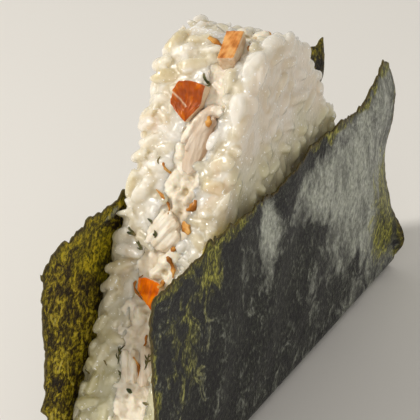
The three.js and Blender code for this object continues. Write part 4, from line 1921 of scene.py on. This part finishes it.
        # A scrap of the front flap's top edge curls out, and one sticks out of the back flap's end.
        out += 1.6 * np.exp(-(((x - self.curl_x) / 2.2) ** 2)) * smoothstep(z, 44.5, 47.5) * (flap < 0)
        scrap = 1.5 * np.exp(-(((z - self.scrap_z) / 1.1) ** 2)) * ((flap > 0) & (x < 0))
        ends = x + np.sign(x) * (nibble + scrap - 0.3) * end
        middle = np.column_stack([ends, y + flap * out, z + rise * stretch + fringe])
        outward = np.column_stack([np.zeros(len(x)), out_y, out_z])
        half = self.thickness / 2
        points = np.concatenate([middle - outward * half, middle + outward * half])
        quads, sides = self.skins(len(line), columns)
        sheet = mesh_object("roasted_nori_sheet", points, quads)
        sheet.data.polygons.foreach_set("material_index", sides)
        for side in NoriSide:
            sheet.data.materials.append(RoastedNori(f"Roasted nori, {side.value} face", side).material())
        self.mark(sheet, x, z, walked, flap)
        ride_as(sheet, "nori", "nori")
        return sheet

    def skins(self, lines: int, columns: int) -> tuple[list, list]:
        """Joins the grid's inner and outer points into two skins with a rim between them.

        Args:
            lines: the grid's lines across the fold.
            columns: the cells along the base.

        Returns:
            The faces, and 0 for each on the sheet's outer face or 1 for each on the inner one or the rim.
        """
        wide = columns + 1
        count = lines * wide
        quads, sides = [], []
        for j in range(lines - 1):
            for i in range(columns):
                a, b, c, d = j * wide + i, j * wide + i + 1, (j + 1) * wide + i + 1, (j + 1) * wide + i
                quads += [[a, d, c, b], [a + count, b + count, c + count, d + count]]
                sides += [1, 0]
        border = [*range(wide), *[j * wide + columns for j in range(1, lines)]]
        border += [(lines - 1) * wide + i for i in reversed(range(columns))]
        border += [j * wide for j in reversed(range(1, lines - 1))]
        for a, b in zip(border, border[1:] + border[:1]):
            quads.append([a, b, b + count, a + count])
            sides.append(1)
        return quads, sides

    def mark(self, sheet: Object, x: Array, z: Array, walked: Array, flap: Array) -> None:
        """Stores where the sheet is thin, where painted sheen lies and where it is singed, and its own flat
        coordinates.

        Args:
            sheet: the piece.
            x: each grid point's place along the base.
            z: its height.
            walked: its distance across the fold.
            flap: the sign of the flap it is on.
        """
        spots = np.column_stack([x, walked, np.zeros(len(x))])
        noise = LatticeNoise(51).at(spots, 2.2, 3)
        from_end = self.length / 2 - np.abs(x)
        from_top = self.height - z
        near = np.minimum(from_end, from_top)
        thin = 0.85 * (1 - smoothstep(from_top + 1.3 * noise, 0.6, 3.2))
        thin = np.maximum(thin, 0.6 * (1 - smoothstep(from_end + noise, 0.3, 2.0)))
        thin = np.clip(thin + self.spots_at(self.thin_spots, x, z, flap), 0, 1)
        edge = 0.9 * (1 - smoothstep(near + 0.25 * noise, 0.15, 0.75))
        # Painted sheen: where the sheet is painted lighter.
        painted_sheen = self.spots_at(self.sheen_spots, x, z, flap)
        for name, values in (("thin", thin), ("edge", edge), ("painted_sheen", painted_sheen)):
            write_attribute(sheet, name, np.concatenate([values, values]))
        flat = np.column_stack([x, walked, 7.0 * flap])
        # The flaps and the two faces lie at different depths of the noise, so that no two look alike.
        write_vectors(sheet, "sheet", np.concatenate([flat, flat + np.array([0, 0, 31.0])]))


# ---------------------------------------------------------------- dill and brown slivers
@dataclass(frozen=True)
class Sliver:
    """A thread or chip lying on a slanted side, given by its place, length, width and turn."""

    along: float
    across: float
    length: float
    width: float
    turn: float
    branches: int = 0


@dataclass
class SurfaceBits:
    """Small threads and chips laid on what they stick to, joined as one piece of one kind."""

    name: str
    slot: str
    finish: Finish
    slivers: dict[int, list[Sliver]]
    triangle: RiceTriangle = field(default_factory=RiceTriangle)
    thickness: float = 0.3
    ragged: float = 0.0
    seed: int = 61

    def land(self, tree: BVHTree, at: Matrix) -> Vector | None:
        """Drops a place of the slope onto what lies under it.

        Args:
            tree: the surfaces to land on.
            at: the place and its axes, Z out of the slope.

        Returns:
            Where it lands, or nothing if there is no surface.
        """
        normal = at.to_3x3().col[2]
        lifted, far = 6.0, 14.0
        hit, *_ = tree.ray_cast(at.translation + normal * lifted, -normal, far)
        return hit

    def thread(self, tree: BVHTree, start: Matrix, length: float, width: float, bow: float) -> Shape | None:
        """Lays one tapering thread along Y of a frame.

        Args:
            tree: the surfaces to lie on.
            start: the frame of its middle.
            length: its length.
            width: its widest.
            bow: how far its ends bend sideways.

        Returns:
            Its points and faces, or nothing if it would hang in the air.
        """
        stations, sides = 7, 6
        normal = np.array(start.to_3x3().col[2])
        centres = []
        for t in np.linspace(-0.5, 0.5, stations):
            spot = start @ Matrix.Translation((bow * (4 * t * t - 0.5), t * length, 0))
            hit = self.land(tree, spot)
            if hit is None:
                return None
            centres.append(np.array(hit) + normal * self.thickness * 0.25)
        centres = np.array(centres)
        for _ in range(2):
            centres[1:-1] = (centres[:-2] + 2 * centres[1:-1] + centres[2:]) / 4
        points = []
        torn = LatticeNoise(self.seed).at(centres, 0.7)
        for k, centre in enumerate(centres):
            ahead = centres[min(k + 1, stations - 1)] - centres[max(k - 1, 0)]
            ahead /= max(np.linalg.norm(ahead), 1e-6)
            beside = np.cross(ahead, normal)
            beside /= max(np.linalg.norm(beside), 1e-6)
            above = np.cross(beside, ahead)
            fat = max(0.25, math.sin(math.pi * (k + 0.6) / (stations + 0.2)))
            fat = fat ** (1 - 0.5 * self.ragged) * (1 + self.ragged * torn[k])
            for a in np.arange(sides) * 2 * math.pi / sides:
                across = beside * math.cos(a) * width / 2 + above * math.sin(a) * self.thickness / 2
                points.append(centre + across * fat)
        return np.array(points), tube_faces(stations, sides)

    def build(self, surfaces: list[Object]) -> Object:
        """Lays all the bits.

        Args:
            surfaces: the pieces that they may lie on.

        Returns:
            The finished piece, riding on the body.
        """
        rng = np.random.default_rng(self.seed)
        parts = [(points_of(s), [list(p.vertices) for p in s.data.polygons]) for s in surfaces]
        points, faces = joined(parts)
        tree = BVHTree.FromPolygons(points.tolist(), faces)
        threads = []
        for side, slivers in self.slivers.items():
            slope = Slope(self.triangle, side)
            for s in slivers:
                at = slope.frame(s.along, s.across, 0, s.turn)
                threads.append(self.thread(tree, at, s.length, s.width, rng.normal(0, 0.12) * s.length))
                for k in range(s.branches):
                    lean = Matrix.Rotation(math.radians((-1) ** k * rng.uniform(22, 40)), 4, "Z")
                    up = Matrix.Translation((0, s.length * (0.7 * k / s.branches - 0.25), 0))
                    branch = at @ up @ lean @ Matrix.Translation((0, s.length * 0.18, 0))
                    threads.append(self.thread(tree, branch, s.length * 0.4, s.width * 0.7, 0.05))
        bits = mesh_object(self.name, *joined([t for t in threads if t is not None]))
        write_attribute(bits, "browned", np.ones(len(bits.data.vertices)))
        write_vectors(bits, "grain", points_of(bits))
        bits.data.materials.append(self.finish.material())
        ride_as(bits, self.slot)
        return bits


# ---------------------------------------------------------------- studio
@dataclass
class Studio:
    """The camera, the pale table and the soft light. Distances in metres."""

    camera_place: Triple = (-0.22441, -0.13456, 0.18787)
    camera_forward: Triple = (0.7334, 0.4567, -0.5034)
    camera_right: Triple = (0.5087, -0.8601, -0.0392)
    lens: float = 141.42
    sensor: float = 36.0
    aim_height: float = 0.03
    lamp_distance: float = 0.9
    key_from: Triple = (-0.50, 0.55, 0.67)
    key_power: float = 0.7
    key_size: float = 0.25
    spark_power: float = 4.6
    spark_size: float = 0.13
    fill_from: Triple = (-0.9, -0.35, 0.4)
    fill_power: float = 2.0
    fill_size: float = 0.8
    table_side: float = 3.0
    table_drop: float = 0.00005
    sky: str = "#efebe2"
    sky_strength: float = 0.55

    def add_camera(self) -> None:
        """Adds the camera at the viewing angle."""
        data = bpy.data.cameras.new("camera")
        data.lens, data.sensor_width, data.sensor_fit = self.lens, self.sensor, "HORIZONTAL"
        data.clip_start = 0.01
        camera = bpy.data.objects.new("camera", data)
        bpy.context.scene.collection.objects.link(camera)
        back = -Vector(self.camera_forward).normalized()
        right = Vector(self.camera_right)
        right = (right - back * right.dot(back)).normalized()
        axes = Matrix((right, back.cross(right), back)).transposed().to_4x4()
        camera.matrix_world = Matrix.Translation(self.camera_place) @ axes
        bpy.context.scene.camera = camera

    def add_lamp(
        self, name: str, direction: Triple, power: float, size: float, tint: str
    ) -> None:
        """Adds a soft lamp that points at the object.

        Args:
            name: the lamp's name.
            direction: from the object towards the lamp.
            power: in watts.
            size: the side of its square face.
            tint: its colour.
        """
        data = bpy.data.lights.new(name, "AREA")
        data.energy, data.size, data.color = power, size, linear(tint)[:3]
        lamp = bpy.data.objects.new(name, data)
        bpy.context.scene.collection.objects.link(lamp)
        way = Vector(direction).normalized()
        lamp.location = Vector((0, 0, self.aim_height)) + way * self.lamp_distance
        lamp.rotation_euler = way.to_track_quat("Z", "Y").to_euler()

    def add_table(self) -> None:
        """Adds the plain pale table."""
        half, low = self.table_side / 2 / MM, -self.table_drop / MM
        corners = np.array([[-half, -half, low], [half, -half, low], [half, half, low], [-half, half, low]])
        table = mesh_object("table", corners, [[0, 1, 2, 3]], smooth=False)
        table.data.materials.append(PaleTable("Pale table, matt painted").material())

    def build(self) -> None:
        """Sets the studio up."""
        self.add_camera()
        self.add_table()
        self.add_lamp("key_lamp", self.key_from, self.key_power, self.key_size, "#fff6ea")
        self.add_lamp("spark_lamp", self.key_from, self.spark_power, self.spark_size, "#fffaf2")
        self.add_lamp("fill_lamp", self.fill_from, self.fill_power, self.fill_size, "#fff4ec")
        world = bpy.data.worlds.new("studio_air")
        world.use_nodes = True
        background = world.node_tree.nodes["Background"]
        background.inputs["Color"].default_value = linear(self.sky)
        background.inputs["Strength"].default_value = self.sky_strength
        bpy.context.scene.world = world
        bpy.context.scene.view_settings.view_transform = "Standard"


# ---------------------------------------------------------------- main
def chosen_grains(sign: int) -> list[LaidGrain]:
    """Lists the grains of one layer whose places are chosen.

    Args:
        sign: -1 for the front layer, +1 for the back one.

    Returns:
        The grains, in the order in which they are laid.
    """
    near_back = rows(LaidGrain, [
        (-1, 78.8, 2.5, 30, 5.9, 2.8), (-1, 81.3, 5.4, 33, 5.4, 2.7), (-1, 83.1, 7.9, 74, 5.4),
        (-1, 84.6, 3.6, 42, 5.0), (1, 85.8, 6.2, 79, 6.0), (1, 85.6, 1.5, 157, 5.8),
        (-1, 78.0, 8.8, 20, 5.0), (-1, 75.5, 7.6, 14, 5.6), (-1, 71.2, 7.5, 15, 5.0, 2.8),
        (-1, 68.9, 8.8, 36, 5.0), (-1, 66.7, 8.8, 18, 5.0, 2.3), (-1, 64.2, 7.0, 44, 5.0, 2.7),
        (-1, 61.2, 8.6, 28, 5.0, 2.3), (-1, 56.6, 9.3, 74, 6.5), (-1, 55.6, 6.0, 61, 6.0, 3.0),
        (-1, 51.0, 8.0, 28, 6.5, 2.5), (-1, 47.1, 8.7, 23, 5.0, 2.7), (-1, 44.8, 6.1, 5, 5.9, 2.4),
        (-1, 41.8, 6.9, 25, 7.0, 2.6), (-1, 38.3, 8.7, 37, 5.3, 2.6), (-1, 35.4, 8.0, 61, 5.0, 2.5),
        (-1, 31.0, 9.0, 46, 5.0, 2.5), (-1, 26.2, 9.6, 51, 5.2), (-1, 23.2, 9.7, 25, 4.8, 2.2),
        (-1, 25.9, 7.0, 77, 5.9, 3.0), (-1, 21.2, 7.0, 76, 5.2, 2.5), (-1, 19.0, 9.6, 36, 4.8, 2.5),
        (-1, 17.4, 7.3, 31, 5.2, 2.8), (-1, 15.1, 10.6, 108, 5.0, 2.6),
    ])
    near_front = rows(LaidGrain, [
        (-1, 81.3, -7.7, 71, 6.4, 2.8), (-1, 80.3, -10.2, 88, 5.6), (-1, 72.7, -7.9, 84, 6.2, 3.2),
        (-1, 77.2, -5.2, 85, 5.0, 2.3), (1, 86.8, -8.6, 74, 5.0, 2.3), (-1, 67.2, -5.3, 79, 4.8, 2.0),
        (-1, 62.9, -7.2, 28, 5.8, 3.0), (-1, 59.0, -7.4, 177, 5.4, 3.0), (-1, 56.1, -9.6, 86, 7.6, 2.5),
    ])
    return near_front if sign < 0 else near_back


def chosen_curds() -> list[Curd]:
    """Lists the lumps of the filling whose places are chosen.

    Returns:
        The lumps; the last ones lie over the apex.
    """
    return rows(Curd, [
        (-1, 78.6, -2.4, 2.3, 2.2, -1.6, 0.5), (-1, 77.3, -3.6, 2.4, 2.0, -1.5, 0.3),
        (-1, 76.0, -2.4, 2.2, 2.4, -1.8, 0.6), (-1, 73.0, -3.8, 3.6, 3.4, -3.0, 0.9),
        (-1, 63.4, 0.9, 2.6, 2.0, -0.3, 0.0), (-1, 58.6, 0.8, 3.0, 2.6, -0.2, 0.1),
        (-1, 58.3, -1.7, 2.6, 2.4, -0.1, 0.2), (-1, 57.4, -3.4, 2.8, 2.2, -0.3, 0.5),
        (-1, 56.3, 1.3, 2.8, 2.4, -0.2, 0.0), (-1, 55.7, -0.6, 2.8, 2.4, 0.0, 0.3),
        (-1, 55.6, -2.5, 2.6, 2.2, 0.0, 0.6), (-1, 53.9, -0.9, 2.6, 2.2, -0.2, 0.4),
        (-1, 53.4, -2.9, 2.8, 2.4, -0.3, 0.8), (-1, 50.4, -3.9, 3.0, 2.4, -0.7, 0.7),
        (-1, 46.0, 0.6, 4.2, 3.0, -1.1, 0.8, -35), (-1, 44.8, -1.7, 5.2, 3.2, 0.0, 0.0, -40),
        (-1, 42.4, 0.0, 4.0, 2.8, -0.3, 0.0, -50), (-1, 42.3, -2.7, 4.2, 2.6, -0.3, 0.1, -20),
        (-1, 35.0, 1.5, 2.8, 2.4, -0.1, 0.0), (-1, 34.4, -1.0, 2.8, 2.4, -0.1, 0.0),
        (-1, 31.6, -0.4, 4.8, 3.4, -0.5, 0.9, -20), (-1, 30.4, 2.4, 3.6, 2.6, -0.8, 0.5),
        (-1, 20.2, -1.4, 3.6, 3.2, -0.3, 0.2), (-1, 18.4, 1.2, 3.8, 3.2, -0.3, 0.1),
        (-1, 19.6, -3.6, 3.2, 2.6, -0.4, 0.3), (-1, 86.8, -4.3, 3.4, 3.2, 0.0, 0.0),
        (-1, 86.0, -6.0, 2.8, 2.4, -0.3, 0.2), (1, 83.2, -0.9, 3.4, 3.0, -0.3, 0.1),
        (1, 82.4, -4.2, 3.2, 3.0, 0.0, 0.0),
    ])


def chicken_pieces() -> list[ChickenPiece]:
    """Lists the larger chicken pieces on both slanted sides.

    Returns:
        The pieces, from the apex down on each side.
    """
    cut, torn = ChickenForm.CUT, ChickenForm.TORN
    dark = SmokedChicken("Hot-smoked chicken, dark glaze")
    light = SmokedChicken("Hot-smoked chicken, light glaze", "#ab6830", "#d08c4a", "#e2ab6b", gloss=0.3)
    amber = SmokedChicken("Hot-smoked chicken, amber glaze", "#ad4a00", "#d26400", "#e98200")
    pale = ("#8f5a26", "#a9773f", "#c39a63", "#ebe5d7", "#d3c4ad")
    meat = SmokedChicken("Hot-smoked chicken breast, torn", *pale, gloss=0.2)
    kite = [(-2.1, 3.3), (-0.5, 3.65), (1.0, 3.7), (3.1, 3.4)]
    kite += [(2.5, -0.4), (0.6, -3.4), (-3.2, -0.8), (-3.0, 1.5)]
    small_kite = [(-1.9, 2.2), (-0.7, 2.7), (2.4, 2.3), (2.6, 1.3), (2.0, -2.7), (-1.6, 0.2)]
    # A strand's last number is its share of painted shade.
    fillet = rows(Strand, [
        ([(70.6, -3.0), (66.4, -1.9), (62.9, -1.4), (60.0, -1.9)], 4.4, 4.0, -0.2, 0.7),
        ([(71.6, -5.8), (71.6, -3.0), (69.2, -0.9), (64.9, 0.7)], 2.4, 3.4, 0.05),
        ([(70.4, -4.4), (67.6, -2.0), (63.8, -0.4)], 2.2, 3.4, -0.05),
    ])
    chunk = rows(Strand, [
        ([(46.4, 0.6), (50.2, -2.4)], 3.4, 3.8, -0.3),
        ([(46.2, 2.0), (49.4, -0.2), (52.0, -1.8)], 3.4, 4.0, 0.0),
        ([(46.8, 2.8), (50.2, 1.1), (53.2, -0.6)], 2.8, 3.6, -0.05),
        ([(48.4, 3.1), (51.0, 1.9), (53.0, 0.9)], 1.8, 3.2, -0.25),
    ])
    low = rows(Strand, [
        ([(22.6, 0.6), (25.0, 1.6), (28.2, 2.6)], 2.3, 3.4, 0.1),
        ([(22.8, -0.9), (25.4, 0.1), (28.6, 0.9)], 1.4, 3.0, -0.3),
        ([(22.8, -2.4), (25.8, -2.6), (29.8, -1.2)], 2.9, 3.4, -0.1, 0.3),
    ])
    block = [(-2.8, 3.3), (0.4, 3.8), (1.5, -2.3), (-1.4, -3.1)]
    square = [(-1.9, -2.2), (1.8, -2.5), (2.0, 2.2), (-1.7, 2.5)]
    return [
        ChickenPiece("chicken_cube_apex", -1, 82.7, -3.9, 1.1, 0, cut, 4.4, block, light),
        ChickenPiece("chicken_wedge_upper", -1, 71.9, 1.1, 0.6, 0, cut, 3.6, kite, dark, split=True),
        ChickenPiece(
            "chicken_strip_upper", -1, 66.2, -1.6, 0.3, -8, torn, 4.2, [], meat, width=4.4, strands=fillet
        ),
        ChickenPiece(
            "chicken_strip_middle", -1, 49.2, -0.4, 0.5, -35, torn, 4.4, [], meat, width=5.4, strands=chunk
        ),
        ChickenPiece("chicken_wedge_lower", -1, 38.6, 0.5, 0.6, 0, cut, 3.4, small_kite, amber),
        ChickenPiece(
            "chicken_strip_lower", -1, 26.2, -0.4, 0.2, 20, torn, 4.0, [], meat, width=4.0, strands=low
        ),
        ChickenPiece("chicken_wedge_far", 1, 70.5, -0.6, 0.6, 20, cut, 3.8, kite, amber, split=True),
        ChickenPiece(
            "chicken_strip_far", 1, 57.5, -1.0, 0.2, 10, torn, 4.2, [], meat, length=10.4, width=4.4
        ),
        ChickenPiece("chicken_cube_far", 1, 43.4, 0.6, 0.3, -18, cut, 4.2, square, light),
        ChickenPiece(
            "chicken_strip_far_low", 1, 28.5, -0.6, 0.2, 4, torn, 4.0, [], meat, length=9.0, width=4.0
        ),
    ]


def dill() -> dict[int, list[Sliver]]:
    """Lists the dill on both slanted sides.

    Returns:
        The threads on each side.
    """
    near = rows(Sliver, [
        (76.8, -0.7, 1.9, 0.75, 35), (75.7, -1.5, 1.6, 0.5, 20), (61.2, 4.2, 1.4, 0.4, 20),
        (50.7, 3.2, 1.4, 0.5, 60), (48.8, 1.5, 1.3, 0.6, 10, 1), (48.1, 6.4, 2.0, 0.9, 55, 1),
        (45.9, 4.2, 2.4, 0.5, 50, 2), (26.9, 3.2, 3.2, 0.4, 10, 4), (27.3, -2.5, 2.8, 0.4, 0, 4),
        (24.9, 5.5, 1.0, 0.35, 40), (21.4, 0.0, 1.5, 0.8, 80, 1), (20.3, -3.9, 1.4, 0.5, 95, 1),
        (22.3, 9.0, 1.2, 0.4, 60), (23.8, 2.3, 1.2, 0.5, 20, 1),
    ])
    rng = np.random.default_rng(71)
    far = [
        Sliver(
            a, c, rng.uniform(1.0, 3.0), rng.uniform(0.35, 0.8), rng.uniform(0, 180), int(rng.integers(0, 3))
        )
        for a, c in scattered(rng, (16, -6), (84, 7), 6.5, 60)
    ]
    return {-1: near, 1: far}


def brown_slivers() -> dict[int, list[Sliver]]:
    """Lists the thin browned edges and splinters on both slanted sides.

    Returns:
        The chips on each side.
    """
    near = rows(Sliver, [
        (84.4, 0.4, 3.4, 1.3, 75), (54.7, 1.6, 5.2, 0.5, 47), (60.2, 2.5, 2.0, 0.9, 43),
        (69.6, -3.6, 1.8, 1.4, 10), (55.0, -3.9, 2.4, 1.5, -30), (51.2, -3.8, 2.6, 1.5, 47),
        (85.1, -5.7, 1.4, 0.8, 10), (44.1, -2.9, 3.7, 1.1, 27), (47.1, -2.2, 0.9, 0.7, 0),
        (39.0, 2.9, 4.4, 0.45, 14), (40.8, -1.8, 1.5, 1.2, 20), (25.4, -0.7, 4.4, 0.7, 23),
        (30.7, -1.1, 1.8, 0.8, 10), (23.9, -5.0, 1.6, 0.9, 60),
    ])
    rng = np.random.default_rng(72)
    far = [
        Sliver(a, c, rng.uniform(1.4, 4.2), rng.uniform(0.5, 1.2), rng.uniform(-40, 40))
        for a, c in scattered(rng, (16, -3.6), (78, 2.4), 7.0, 60)
    ]
    return {-1: near, 1: [Sliver(81.6, -4.8, 2.2, 0.6, 80), *far]}


def main() -> None:
    """Builds the pieces in order and reports each."""
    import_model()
    Studio().build()
    NoriSheet().build()
    far_swells = {-1: 2.2, 1: 0.8}  # of the front and the back layer
    surfaces = [
        RiceLayer(sign, chosen_grains(sign), far_swell=swell).build() for sign, swell in far_swells.items()
    ]
    surfaces.append(Filling(chosen_curds()).build())
    surfaces += [piece.build() for piece in chicken_pieces()]
    SurfaceBits("dill_threads", "filling", ChoppedDill("Dill, chopped and wilted"), dill()).build(surfaces)
    skin = SmokedChicken("Hot-smoked chicken, splinters", "#8a5521", "#b47836", "#d2a05c", gloss=0.05)
    bits = SurfaceBits("browned_slivers", "browned_chicken", skin, brown_slivers(), thickness=0.5, ragged=0.8)
    bits.build(surfaces)


if __name__ == "__main__":
    logging.basicConfig(level=logging.INFO, format="%(name)s: %(message)s")
    main()
